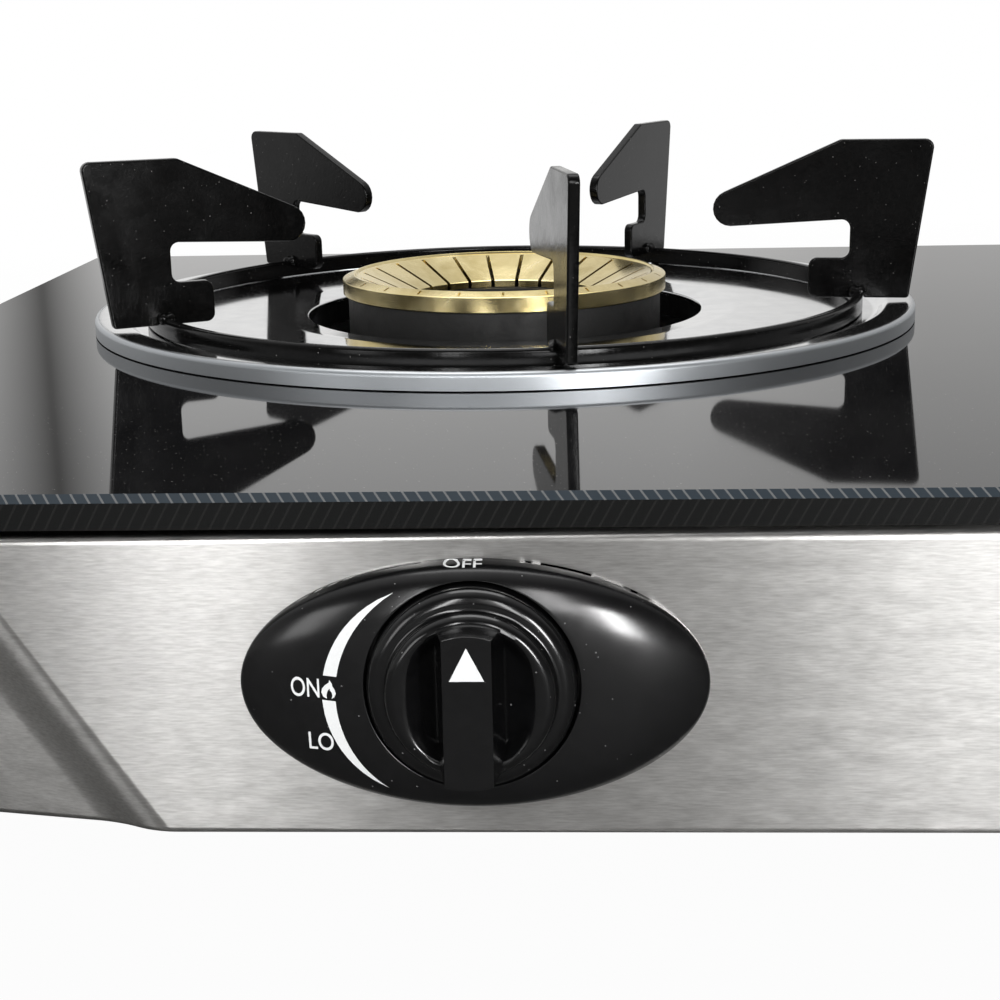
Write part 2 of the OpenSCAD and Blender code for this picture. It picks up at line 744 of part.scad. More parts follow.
module burner_bracket(side) {
    leg_y = bracket_l / 2 - bracket_t;
    color([0.7, 0.7, 0.7])
        difference() {
            under_burner(side) {
                translate([-bracket_w / 2, -bracket_l / 2, casting_floor_z - bracket_t])
                    cube([bracket_w, bracket_l, bracket_t]);
                for (y = [0, 1])
                    mirror([0, y, 0]) translate([-bracket_w / 2, leg_y, floor_z]) {
                        cube([bracket_w, bracket_t, casting_floor_z - floor_z]);
                        cube([bracket_w, bracket_foot + bracket_t, bracket_t]);
                    }
            }
            under_burner(side) translate([0, 0, casting_floor_z - bracket_t - eps])
                cylinder(r = electrode_r + screw_clear, h = bracket_t + 2 * eps);
            under_burner(side) at_casting_screws()
                translate([0, 0, -bracket_t - eps])
                    cylinder(r = screw_r + screw_clear, h = bracket_t + 2 * eps);
            at_bracket_feet(side) translate([0, 0, floor_z - eps])
                cylinder(r = screw_r + screw_clear, h = bracket_t + 2 * eps);
        }
}

module bracket_screws(side) {
    color([0.7, 0.7, 0.7]) {
        under_burner(side) at_casting_screws() translate([0, 0, -bracket_t]) {
            translate([0, 0, -2]) cylinder(r = 2 * screw_r, h = 2);
            translate([0, 0, -eps]) cylinder(r = screw_r, h = bracket_t + 2.5 + eps);
        }
        at_bracket_feet(side) {
            translate([0, 0, floor_z + bracket_t]) cylinder(r = 2 * screw_r, h = 2);
            translate([0, 0, foot_h - 3]) cylinder(r = screw_r, h = sheet_t + bracket_t + 3 + eps);
        }
    }
}

module gas_jet(side) {
    color([0.85, 0.72, 0.38]) at_control(side)
        difference() {
            union() {
                translate([0, 0, valve_end - jet_hex_t]) cylinder(r = jet_hex_r, h = jet_hex_t, $fn = 6);
                translate([0, 0, valve_end - jet_l]) cylinder(r1 = 2.5, r2 = 4, h = jet_l - jet_hex_t + eps);
            }
            translate([0, 0, valve_end - jet_l - eps]) cylinder(r = 0.5, h = jet_l + 2 * eps);
            translate([0, 0, valve_end - jet_l + 3]) cylinder(r = 1.8, h = jet_l);
        }
}

module valve_body(side) {
    color([0.8, 0.68, 0.35]) at_control(side)
        difference() {
            translate([-valve_w / 2, -valve_w / 2, valve_end]) cube([valve_w, valve_w, cover_z - valve_end]);
            translate([0, 0, cavity_end]) cylinder(r = plug_r + run_clear, h = cover_z - cavity_end + eps);
            translate([0, 0, valve_end - eps]) cylinder(r = 2.5, h = big / 10);
            translate([0, 0, -manifold_back]) rotate([90, 0, 0]) cylinder(r = port_r, h = valve_w);
            at_cover_screws() translate([0, 0, cover_z - 10])
                cylinder(r = screw_r + screw_clear, h = 10 + eps);
            at_clamp_bolts() cylinder(r = screw_r + screw_clear, h = 12, center = true);
        }
}

// Places children at the two screws of a valve's cover
module at_cover_screws() {
    for (s = [-1, 1])
        translate([s * screw_at, s * screw_at, 0]) children();
}

// Places children where a valve's clamp bolts enter its underside, with +Z up
module at_clamp_bolts() {
    for (s = [-1, 1])
        translate([0, -valve_w / 2, -manifold_back + s * clamp_bolt_z]) rotate([-90, 0, 0]) children();
}

module valve_cover(side) {
    color([0.8, 0.68, 0.35]) at_control(side)
        difference() {
            union() {
                translate([-valve_w / 2, -valve_w / 2, cover_z]) cube([valve_w, valve_w, cover_t]);
                translate([0, 0, cover_z + cover_t - eps])
                    cylinder(r = nose_r, h = cover_back + nose_end + eps);
            }
            translate([0, 0, cover_z - eps])
                cylinder(r = stem_r + run_clear, h = cover_back + cover_t + nose_end + 2 * eps);
            at_cover_screws() translate([0, 0, cover_z - eps])
                cylinder(r = screw_r + screw_clear, h = cover_t + 2 * eps);
        }
}

module valve_screws(side) {
    bolt_l = manifold_drop - valve_w / 2 + clamp_h;
    color([0.7, 0.7, 0.7]) at_control(side) {
        at_cover_screws() {
            translate([0, 0, cover_z + cover_t]) cylinder(r = 2 * screw_r, h = 2);
            translate([0, 0, cover_z - 8]) cylinder(r = screw_r, h = cover_t + 8 + eps);
        }
        at_clamp_bolts() {
            translate([0, 0, -bolt_l - eps]) cylinder(r = screw_r, h = bolt_l + 5 + eps);
            translate([0, 0, -bolt_l - 1.2]) cylinder(r = 1.8 * screw_r, h = 1.2);
        }
    }
}

module valve_clamp(side) {
    low = manifold_r + 0.05;
    color([0.7, 0.7, 0.7]) at_control(side)
        translate([0, -manifold_drop, -manifold_back])
            difference() {
                translate([-clamp_w / 2, -clamp_h, -clamp_bolt_z - clamp_edge])
                    cube([clamp_w, clamp_h - clamp_gap, 2 * (clamp_bolt_z + clamp_edge)]);
                rotate([0, 90, 0]) cylinder(r = low, h = clamp_w + 2 * eps, center = true);
                for (s = [-1, 1])
                    translate([0, -clamp_h - eps, s * clamp_bolt_z]) rotate([-90, 0, 0])
                        cylinder(r = screw_r + screw_clear, h = clamp_h + 2 * eps);
            }
}

module valve_plug(side) {
    color([0.85, 0.72, 0.38]) at_control(side)
        difference() {
            translate([0, 0, plug_z - plug_l]) cylinder(r = plug_r, h = plug_l);
            translate([-(tang_w + 0.4) / 2, -(tang_t + 0.2) / 2, tang_end - push_travel - 0.5])
                cube([tang_w + 0.4, tang_t + 0.2, big / 10]);
            translate([0, 0, plug_z - plug_l - eps]) cylinder(r = 2.5, h = plug_l / 4 + eps);
        }
}

module stem_spring(side) {
    color([0.75, 0.75, 0.75]) at_control(side)
        translate([0, 0, plug_z + 0.3])
            difference() {
                cylinder(r = collar_r - 0.3, h = spring_l);
                translate([0, 0, -eps]) cylinder(r = stem_r + 0.4, h = spring_l + 2 * eps);
            }
}

module valve_stem(side) {
    color([0.85, 0.72, 0.38]) at_control(side) {
        translate([0, 0, plug_z + 4]) cylinder(r = stem_r, h = stem_end - plug_z - 4);
        translate([0, 0, collar_z]) cylinder(r = collar_r, h = collar_t);
        translate([-tang_w / 2, -tang_t / 2, tang_end]) cube([tang_w, tang_t, plug_z + 5 - tang_end]);
    }
}

module knob(side) {
    ring_z0 = flange_z + knob_flange_t;
    face_z = ring_z0 + knob_ring_h;
    color([0.05, 0.05, 0.05]) at_control(side)
        difference() {
            union() {
                rotate_extrude() polygon(concat([[0, flange_z], [knob_r, flange_z]],
                    arc(knob_r - flange_round, ring_z0 - flange_round, flange_round, 0, 90, 6),
                    [[knob_ring_r, ring_z0]],
                    arc(knob_ring_r - ring_round, face_z - ring_round, ring_round, 0, 90, 4),
                    [[0, face_z]]));
                intersection() {
                    rotate([90, 0, 0]) linear_extrude(2 * knob_ring_r, center = true)
                        polygon([[-grip_root_w / 2, ring_z0], [grip_root_w / 2, ring_z0],
                            [grip_front_w / 2, knob_reach], [-grip_front_w / 2, knob_reach]]);
                    cylinder(r = grip_end_r, h = knob_reach);
                }
            }
            for (x = [grip_root_w / 2, -grip_root_w / 2 - scoop_w])
                intersection() {
                    translate([x, -grip_end_r, face_z - scoop_depth])
                        cube([scoop_w, 2 * grip_end_r, scoop_depth + eps]);
                    cylinder(r = grip_end_r - 0.6, h = knob_reach);
                }
            translate([0, 0, flange_z - eps])
                cylinder(r = stem_r + run_clear, h = stem_end - flange_z + eps + 0.2);
        }
}

module bezel(side) {
    rise = bezel_dome - bezel_end;
    dome_r = (pow(bezel_l / 2, 2) + rise * rise) / (2 * rise);
    color([0.06, 0.06, 0.06]) at_control(side)
        difference() {
            translate([0, -bezel_drop, 0]) intersection() {
                linear_extrude(bezel_dome) polygon(ellipse(bezel_l / 2, bezel_h / 2));
                translate([0, 0, bezel_dome - dome_r]) sphere(r = dome_r, $fn = 128);
            }
            translate([0, 0, bezel_floor]) cylinder(r = knob_r + well_clear, h = bezel_dome);
            translate([0, 0, -eps]) cylinder(r = nose_hole_r, h = bezel_dome);
        }
}

module piezo_igniter(side) {
    color([0.1, 0.1, 0.1]) at_control(side) {
        translate([piezo_x - piezo_w / 2, -piezo_h / 2, valve_end + 4])
            cube([piezo_w, piezo_h, cover_z - valve_end - 6]);
        translate([piezo_x, 0, -lead_route[0][1] + 0.1])
            cylinder(r = lead_r + 0.7, h = lead_route[0][1] + valve_end + 5);
    }
}

module igniter_electrode(side) {
    low = floor_z + lead_route[len(lead_route) - 1][2] + 0.1;
    color([0.9, 0.88, 0.84]) under_burner(side) {
        translate([0, 0, low]) cylinder(r = electrode_r, h = glass_top_z - 4 - low);
        translate([0, 0, casting_floor_z]) cylinder(r = electrode_r + 1.8, h = 3);
        translate([0, 0, glass_top_z - 5]) cylinder(r = 0.8, h = 6);
    }
}

module ignition_lead(side) {
    color([0.75, 0.15, 0.1]) on_side(side) translate([-knob_x, panel_y, floor_z])
        swept_tube(lead_route, lead_r);
}

glass_top();
glass_gasket();
front_panel();
body_tray();
rubber_feet();
foot_screws();
panel_screws();
manifold_pipe();
manifold_plugs();
supply_pipe();
gas_inlet();
inlet_nut();
drip_pan(left);  // left_drip_pan
support_ring(left);  // left_support_ring
support_arms(left);  // left_support_arms
burner_cap(left);  // left_burner_cap
burner_body(left);  // left_burner_body
burner_bracket(left);  // left_burner_bracket
bracket_screws(left);  // left_bracket_screws
air_shutter(left);  // left_air_shutter
gas_jet(left);  // left_gas_jet
valve_body(left);  // left_valve_body
valve_cover(left);  // left_valve_cover
valve_screws(left);  // left_valve_screws
valve_clamp(left);  // left_valve_clamp
valve_plug(left);  // left_valve_plug
stem_spring(left);  // left_stem_spring
valve_stem(left);  // left_valve_stem
knob(left);  // left_knob
bezel(left);  // left_bezel
piezo_igniter(left);  // left_piezo_igniter
igniter_electrode(left);  // left_igniter_electrode
ignition_lead(left);  // left_ignition_lead
drip_pan(right);  // right_drip_pan
support_ring(right);  // right_support_ring
support_arms(right);  // right_support_arms
burner_cap(right);  // right_burner_cap
burner_body(right);  // right_burner_body
burner_bracket(right);  // right_burner_bracket
bracket_screws(right);  // right_bracket_screws
air_shutter(right);  // right_air_shutter
gas_jet(right);  // right_gas_jet
valve_body(right);  // right_valve_body
valve_cover(right);  // right_valve_cover
valve_screws(right);  // right_valve_screws
valve_clamp(right);  // right_valve_clamp
valve_plug(right);  // right_valve_plug
stem_spring(right);  // right_stem_spring
valve_stem(right);  // right_valve_stem
knob(right);  // right_knob
bezel(right);  // right_bezel
piezo_igniter(right);  // right_piezo_igniter
igniter_electrode(right);  // right_igniter_electrode
ignition_lead(right);  // right_ignition_lead
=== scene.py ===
import json
import math
import bpy
from mathutils import Matrix, Vector


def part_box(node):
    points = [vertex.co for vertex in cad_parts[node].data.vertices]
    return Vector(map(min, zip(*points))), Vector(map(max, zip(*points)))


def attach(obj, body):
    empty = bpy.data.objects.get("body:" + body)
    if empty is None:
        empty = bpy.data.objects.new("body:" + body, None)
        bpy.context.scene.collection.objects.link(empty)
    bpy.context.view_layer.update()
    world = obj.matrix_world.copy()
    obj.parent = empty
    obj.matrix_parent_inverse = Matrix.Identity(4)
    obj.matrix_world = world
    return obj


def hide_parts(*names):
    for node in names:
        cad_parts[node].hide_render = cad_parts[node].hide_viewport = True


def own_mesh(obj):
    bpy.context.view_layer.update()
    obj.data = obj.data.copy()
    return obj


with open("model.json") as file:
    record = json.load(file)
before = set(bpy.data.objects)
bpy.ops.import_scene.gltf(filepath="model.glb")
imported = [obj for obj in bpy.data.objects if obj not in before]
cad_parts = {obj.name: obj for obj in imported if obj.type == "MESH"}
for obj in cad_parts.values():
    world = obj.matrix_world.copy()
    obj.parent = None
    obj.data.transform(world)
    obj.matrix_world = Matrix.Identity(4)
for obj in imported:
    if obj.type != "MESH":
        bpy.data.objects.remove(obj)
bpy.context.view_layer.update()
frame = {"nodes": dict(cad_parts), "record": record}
nodes = frame["nodes"]
MM = 0.001
SIDES = ("left", "right")
# In millimetres: corners this near are one, and print is this thick
MERGE_GAP, COAT = 0.0005, 0.06

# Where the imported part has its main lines, in metres
glass_low, glass_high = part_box("glass_top")
panel_low, panel_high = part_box("front_panel")
GLASS_TOP = glass_high.z
BURNER = {}
CONTROL = {}
for side in SIDES:
    low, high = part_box(side + "_drip_pan")
    BURNER[side] = Vector(((low.x + high.x) / 2, (low.y + high.y) / 2, GLASS_TOP))
    low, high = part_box(side + "_valve_plug")
    CONTROL[side] = Vector(((low.x + high.x) / 2, panel_low.y, (low.z + high.z) / 2))


# Bench tools

def deselect():
    if bpy.context.object and bpy.context.object.mode != "OBJECT":
        bpy.ops.object.mode_set(mode="OBJECT")
    bpy.ops.object.select_all(action="DESELECT")


def take(obj):
    deselect()
    obj.select_set(True)
    bpy.context.view_layer.objects.active = obj


def work_on(obj, kind="VERT"):
    take(obj)
    bpy.ops.object.mode_set(mode="EDIT")
    bpy.ops.mesh.select_mode(type=kind)
    bpy.ops.mesh.select_all(action="SELECT")


def pick(obj, test, kind="FACE"):
    """Select, in edit mode, the corners, edges or faces whose middle passes the test."""
    work_on(obj, kind)
    bpy.ops.mesh.select_all(action="DESELECT")
    bpy.ops.object.mode_set(mode="OBJECT")
    mesh = obj.data
    for item in {"VERT": mesh.vertices, "EDGE": mesh.edges, "FACE": mesh.polygons}[kind]:
        if kind == "VERT":
            item.select = test(item.co)
        elif kind == "EDGE":
            a, b = (mesh.vertices[i].co for i in item.vertices)
            item.select = test((a + b) / 2)
        else:
            item.select = test(item.center)
    bpy.ops.object.mode_set(mode="EDIT")


def drawn_loop(name, points):
    """A closed line of corners drawn through points, in millimetres."""
    deselect()
    bpy.ops.mesh.primitive_plane_add(size=1)
    obj = bpy.context.object
    obj.name = name
    work_on(obj)
    bpy.ops.mesh.merge(type="CENTER")
    bpy.ops.transform.translate(value=points[0])
    for a, b in zip(points, points[1:] + points[:1]):
        step = [b[i] - a[i] for i in range(3)]
        bpy.ops.mesh.extrude_region_move(TRANSFORM_OT_translate={"value": step})
    bpy.ops.mesh.select_all(action="SELECT")
    bpy.ops.mesh.remove_doubles(threshold=MERGE_GAP)
    return obj


def turned(name, outline, steps):
    """A ring turned about the upright axis from a closed outline of (radius, height), in millimetres."""
    obj = drawn_loop(name, [(r, 0, z) for r, z in outline])
    bpy.ops.mesh.select_all(action="SELECT")
    bpy.ops.mesh.spin(steps=steps, angle=2 * math.pi, center=(0, 0, 0), axis=(0, 0, 1))
    bpy.ops.mesh.select_all(action="SELECT")
    bpy.ops.mesh.remove_doubles(threshold=MERGE_GAP)
    bpy.ops.mesh.normals_make_consistent(inside=False)
    return obj


def flat_shape(name, outline):
    """A flat face cut to a closed outline in the XY plane, in millimetres."""
    obj = drawn_loop(name, [(x, y, 0) for x, y in outline])
    bpy.ops.mesh.select_all(action="SELECT")
    bpy.ops.mesh.edge_face_add()
    return obj


def plate(name, outline, thickness):
    """A flat plate that lies from z = 0 up, in millimetres."""
    obj = flat_shape(name, outline)
    bpy.ops.mesh.extrude_region_move(TRANSFORM_OT_translate={"value": (0, 0, thickness)})
    bpy.ops.mesh.select_all(action="SELECT")
    bpy.ops.mesh.normals_make_consistent(inside=False)
    return obj


def fillet(centre, radius, start, end, steps):
    """Points of an arc between two angles, in degrees."""
    points = []
    for i in range(steps + 1):
        angle = math.radians(start + (end - start) * i / steps)
        points.append((centre[0] + radius * math.cos(angle), centre[1] + radius * math.sin(angle)))
    return points


def rounded_edges(obj, width, segments, angle):
    take(obj)
    mod = obj.modifiers.new("edges", "BEVEL")
    mod.width = width
    mod.segments = segments
    mod.limit_method = "ANGLE"
    mod.angle_limit = math.radians(angle)
    bpy.ops.object.modifier_apply(modifier=mod.name)


def cut(obj, tool, how="DIFFERENCE"):
    take(obj)
    mod = obj.modifiers.new("cut", "BOOLEAN")
    mod.operation = how
    mod.solver = "EXACT"
    mod.object = tool
    bpy.ops.object.modifier_apply(modifier=mod.name)
    bpy.data.objects.remove(tool)


def copied(obj, name):
    new = obj.copy()
    new.data = obj.data.copy()
    new.name = name
    bpy.context.scene.collection.objects.link(new)
    return new


def joined(objs, name):
    take(objs[0])
    for o in objs[1:]:
        o.select_set(True)
    bpy.ops.object.join()
    objs[0].name = name
    return objs[0]


def moved(obj, matrix):
    """Move a piece in its own millimetre space and apply the move to its mesh."""
    take(obj)
    obj.matrix_world = matrix @ obj.matrix_world
    bpy.ops.object.transform_apply(location=True, rotation=True, scale=True)
    return obj


def about(axis, degrees):
    """A turn about an axis."""
    return Matrix.Rotation(math.radians(degrees), 4, axis)


def shifted(x, y, z):
    """A straight move."""
    return Matrix.Translation((x, y, z))


def block(name, size, place):
    """A box of a size, in millimetres, moved to a place."""
    deselect()
    bpy.ops.mesh.primitive_cube_add(size=1)
    obj = bpy.context.object
    obj.name = name
    work_on(obj)
    bpy.ops.transform.resize(value=size)
    return moved(obj, place)


def set_down(obj, place, smooth):
    """Bring a finished piece from millimetres to its place in the frame."""
    moved(obj, place @ Matrix.Scale(MM, 4))
    take(obj)
    if smooth:
        bpy.ops.object.shade_smooth_by_angle(angle=math.radians(smooth))
        # Large faces stay flat, and only the rounded edges beside them turn
        mod = obj.modifiers.new("flat faces", "WEIGHTED_NORMAL")
        mod.mode = "FACE_AREA"
        mod.weight = 100
        mod.keep_sharp = True
        bpy.ops.object.modifier_apply(modifier=mod.name)


def fit(obj, body, slot, finish, *stands_for):
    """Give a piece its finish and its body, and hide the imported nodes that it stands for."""
    obj.data.name = obj.name
    obj.data.materials.clear()
    obj.data.materials.append(finish)
    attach(obj, body)
    if stands_for:
        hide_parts(*stands_for)
    return obj


def on_burner(side):
    return Matrix.Translation(BURNER[side])


def on_control(side):
    return Matrix.Translation(CONTROL[side]) @ about("X", 90)


# Camera

CAMERA_FROM_BURNER = Vector((0.0231, -0.5406, 0.0852))
YAW, PITCH, ROLL = (math.radians(a) for a in (-2.728, 15.169, -1.139))
FOCAL_PX, PICTURE_PX, SENSOR = 1725.3, 1000, 36

camera = bpy.data.objects.new("camera", bpy.data.cameras.new("camera"))
bpy.context.scene.collection.objects.link(camera)
forward = Vector((math.sin(YAW) * math.cos(PITCH), math.cos(YAW) * math.cos(PITCH), -math.sin(PITCH)))
level = Vector((math.cos(YAW), -math.sin(YAW), 0))
above = level.cross(forward)
right = math.cos(ROLL) * level + math.sin(ROLL) * above
up = -math.sin(ROLL) * level + math.cos(ROLL) * above
camera.matrix_world = Matrix.Translation(BURNER["left"] + CAMERA_FROM_BURNER) @ Matrix(
    (right, up, -forward)).transposed().to_4x4()
camera.data.sensor_width = SENSOR
camera.data.lens = FOCAL_PX / PICTURE_PX * SENSOR
camera.data.clip_start = 0.01
camera.data.clip_end = 100
bpy.context.scene.camera = camera


# Finishes

def new_finish(name, **constants):
    mat = bpy.data.materials.new(name)
    mat.use_nodes = True
    tree = mat.node_tree
    tree.nodes.clear()
    out = tree.nodes.new("ShaderNodeOutputMaterial")
    bsdf = tree.nodes.new("ShaderNodeBsdfPrincipled")
    tree.links.new(bsdf.outputs[0], out.inputs[0])
    for key, value in constants.items():
        bsdf.inputs[key.replace("_", " ")].default_value = value
    return mat, tree, bsdf


def add(tree, kind, values=None, **settings):
    n = tree.nodes.new(kind)
    for key, value in settings.items():
        setattr(n, key, value)
    for key, value in (values or {}).items():
        n.inputs[key].default_value = value
    return n


def math_node(tree, operation, a, b=None, clamp=False):
    n = add(tree, "ShaderNodeMath", operation=operation, use_clamp=clamp)
    for i, value in enumerate((a, b)):
        if value is None:
            continue
        if isinstance(value, (int, float)):
            n.inputs[i].default_value = value
        else:
            tree.links.new(value, n.inputs[i])
    return n.outputs[0]


def blend_colour(tree, mask, a, b):
    n = add(tree, "ShaderNodeMix", data_type="RGBA")
    tree.links.new(mask, n.inputs[0])
    for socket, value in ((n.inputs[6], a), (n.inputs[7], b)):
        if isinstance(value, tuple):
            socket.default_value = (*value, 1)
        else:
            tree.links.new(value, socket)
    return n.outputs[2]


def between(tree, value, low, high, to_low, to_high):
    """A value brought from one range to another, and held at its ends."""
    limits = {"From Min": low, "From Max": high, "To Min": to_low, "To Max": to_high}
    n = add(tree, "ShaderNodeMapRange", limits)
    tree.links.new(value, n.inputs["Value"])
    return n.outputs[0]


def where(tree, space="Object"):
    """The x, y and z of a point on a piece, or of a direction in the world."""
    coords = tree.nodes.new("ShaderNodeTexCoord")
    xyz = tree.nodes.new("ShaderNodeSeparateXYZ")
    tree.links.new(coords.outputs[space], xyz.inputs[0])
    return xyz.outputs


def new_group(name, inputs, outputs):
    group = bpy.data.node_groups.new(name, "ShaderNodeTree")
    for label, default in inputs:
        s = group.interface.new_socket(name=label, in_out="INPUT", socket_type="NodeSocketFloat")
        s.default_value = default
    for label in outputs:
        group.interface.new_socket(name=label, in_out="OUTPUT", socket_type="NodeSocketFloat")
    return group, group.nodes.new("NodeGroupInput"), group.nodes.new("NodeGroupOutput")


def placed(tree, group, **values):
    n = tree.nodes.new("ShaderNodeGroup")
    n.node_tree = group
    for key, value in values.items():
        n.inputs[key].default_value = value
    return n


# Dust: small pale specks, and soft patches where it gathers
dust, d_in, d_out = new_group(
    "dust", (("Grain", 900.0), ("Share", 0.12), ("Patch", 14.0)), ("Specks", "Film"))
coords = dust.nodes.new("ShaderNodeTexCoord")
cells = add(dust, "ShaderNodeTexVoronoi", feature="F1")
dust.links.new(coords.outputs["Object"], cells.inputs["Vector"])
dust.links.new(d_in.outputs["Grain"], cells.inputs["Scale"])
patches = add(dust, "ShaderNodeTexNoise", {"Detail": 4.0, "Roughness": 0.6})
dust.links.new(coords.outputs["Object"], patches.inputs["Vector"])
dust.links.new(d_in.outputs["Patch"], patches.inputs["Scale"])
tone = dust.nodes.new("ShaderNodeSeparateColor")
dust.links.new(cells.outputs["Color"], tone.inputs[0])
chosen = math_node(dust, "LESS_THAN", tone.outputs[0], d_in.outputs["Share"])
speck_r = math_node(dust, "MULTIPLY", tone.outputs[1], 0.42)
small = math_node(dust, "LESS_THAN", cells.outputs["Distance"], speck_r)
dust.links.new(math_node(dust, "MULTIPLY", chosen, small), d_out.inputs["Specks"])
dust.links.new(between(dust, patches.outputs[0], 0.42, 0.7, 0.0, 1.0), d_out.inputs["Film"])

# Drawn grain: fine straight lines along X, as rolling or brushing leaves them
grain, g_in, g_out = new_group("drawn grain", (("Lines", 2600.0), ("Length", 9.0)), ("Fine", "Broad"))
coords = grain.nodes.new("ShaderNodeTexCoord")
for label, share, stretch in (("Fine", 1.0, 1.0), ("Broad", 0.12, 0.4)):
    scale = grain.nodes.new("ShaderNodeCombineXYZ")
    grain.links.new(math_node(grain, "MULTIPLY", g_in.outputs["Length"], stretch), scale.inputs[0])
    lines = math_node(grain, "MULTIPLY", g_in.outputs["Lines"], share)
    grain.links.new(lines, scale.inputs[1])
    grain.links.new(lines, scale.inputs[2])
    at = add(grain, "ShaderNodeVectorMath", operation="MULTIPLY")
    grain.links.new(coords.outputs["Object"], at.inputs[0])
    grain.links.new(scale.outputs[0], at.inputs[1])
    noise = add(grain, "ShaderNodeTexNoise", {"Scale": 1.0, "Detail": 3.0, "Roughness": 0.55})
    grain.links.new(at.outputs[0], noise.inputs["Vector"])
    grain.links.new(noise.outputs[0], g_out.inputs[label])

# Handling: soft uneven gloss where a surface is touched, wiped and rubbed
handling, h_in, h_out = new_group("handling", (("Size", 30.0),), ("Smear", "Fine"))
coords = handling.nodes.new("ShaderNodeTexCoord")
for label, share in (("Smear", 1.0), ("Fine", 9.0)):
    noise = add(handling, "ShaderNodeTexNoise", {"Detail": 5.0, "Roughness": 0.62, "Distortion": 0.4})
    handling.links.new(coords.outputs["Object"], noise.inputs["Vector"])
    handling.links.new(math_node(handling, "MULTIPLY", h_in.outputs["Size"], share), noise.inputs["Scale"])
    handling.links.new(noise.outputs[0], h_out.inputs[label])


def bump(tree, bsdf, height, strength, distance):
    n = add(tree, "ShaderNodeBump", {"Strength": strength, "Distance": distance})
    tree.links.new(height, n.inputs["Height"])
    tree.links.new(n.outputs[0], bsdf.inputs["Normal"])


def paint(tree, bsdf, mask, a, b):
    """A base colour that goes from one tone to another with a mask."""
    tree.links.new(blend_colour(tree, mask, a, b), bsdf.inputs["Base Color"])


def dust_over(tree, bsdf, base, size, share, strength, colour):
    """A base colour with specks of dust lying on it."""
    specks = placed(tree, dust, Grain=size, Share=share)
    seen = math_node(tree, "MULTIPLY", specks.outputs["Specks"], strength)
    paint(tree, bsdf, seen, base, colour)


def uneven_gloss(tree, bsdf, size, low, high, full_at=0.7):
    """Roughness that wanders between two levels in smears of a size."""
    h = placed(tree, handling, Size=size)
    tree.links.new(between(tree, h.outputs["Smear"], 0.3, full_at, low, high), bsdf.inputs["Roughness"])
    return h


def moulding(name, colour, rough, texture):
    """A black moulded plastic with fine texture, uneven gloss and a little dust."""
    mat, tree, bsdf = new_finish(name)
    h = uneven_gloss(tree, bsdf, 40, rough * 0.8, rough * 1.3)
    worn = between(tree, h.outputs["Fine"], 0.35, 0.75, 0.0, 1.0)
    base = blend_colour(tree, worn, colour, tuple(c * 1.6 + 0.001 for c in colour))
    dust_over(tree, bsdf, base, 2200.0, 0.008, 0.5, (0.3, 0.3, 0.3))
    bump(tree, bsdf, h.outputs["Fine"], 0.08, texture)
    return mat


def metal(name, colour, dark, rough, rough_high):
    """A bare metal with uneven tone and gloss."""
    mat, tree, bsdf = new_finish(name, Metallic=1)
    h = uneven_gloss(tree, bsdf, 60, rough, rough_high)
    paint(tree, bsdf, between(tree, h.outputs["Smear"], 0.35, 0.65, 0.0, 1.0), dark, colour)
    bump(tree, bsdf, h.outputs["Fine"], 0.15, 0.0001)
    return mat


def plain(name, colour, colour_2, rough, rough_high, size):
    """A glaze, sleeve or the like with fine changes of tone."""
    mat, tree, bsdf = new_finish(name)
    h = uneven_gloss(tree, bsdf, size, rough, rough_high)
    paint(tree, bsdf, h.outputs["Fine"], colour, colour_2)
    bump(tree, bsdf, h.outputs["Fine"], 0.15, 0.0001)
    return mat


def black_glass():
    mat, tree, bsdf = new_finish("black glass", IOR=1.5)
    x, y, z = where(tree)
    bevel, spacing = 0.00155, 0.0027
    foot = glass_high.z - bevel
    on_front = math_node(tree, "LESS_THAN", y, glass_low.y + bevel)
    on_bevel = math_node(tree, "MULTIPLY", on_front, math_node(tree, "GREATER_THAN", z, foot))
    on_face = math_node(tree, "MULTIPLY", on_front, math_node(tree, "LESS_THAN", z, foot))
    # Pale slanting lines painted on the bevel, and fainter ones the other way on the edge: painted light
    # refracted through the ground edge
    painted_refraction_lines = []
    for mask, lean, strength in ((on_bevel, 0.9, 0.15), (on_face, -0.55, 0.01)):
        across = math_node(tree, "ADD", x, math_node(tree, "MULTIPLY", z, lean))
        phase = math_node(tree, "FRACT", math_node(tree, "DIVIDE", across, spacing))
        line = math_node(tree, "LESS_THAN", phase, 0.18)
        painted_refraction_lines.append(math_node(tree, "MULTIPLY", math_node(tree, "MULTIPLY", line, mask), strength))
    # Dust lies on the top, not on the front
    specks = placed(tree, dust, Grain=2400.0, Share=0.02)
    dusty = math_node(tree, "ADD", math_node(tree, "MULTIPLY", specks.outputs["Specks"], 0.5),
                      math_node(tree, "MULTIPLY", specks.outputs["Film"], 0.012))
    dusty = math_node(tree, "MULTIPLY", dusty, math_node(tree, "SUBTRACT", 1.0, on_front))
    sheet = blend_colour(tree, on_face, (0.006, 0.006, 0.0065), (0.002, 0.0022, 0.0022))
    body = blend_colour(tree, on_bevel, sheet, (0.018, 0.026, 0.034))
    base = blend_colour(tree, dusty, body, (0.35, 0.34, 0.32))
    # The pale lines of painted refracted light go over the base colour
    paint(tree, bsdf, math_node(tree, "ADD", *painted_refraction_lines), base, (0.62, 0.6, 0.57))
    uneven_gloss(tree, bsdf, 12.0, 0.02, 0.06, 0.75)
    return mat


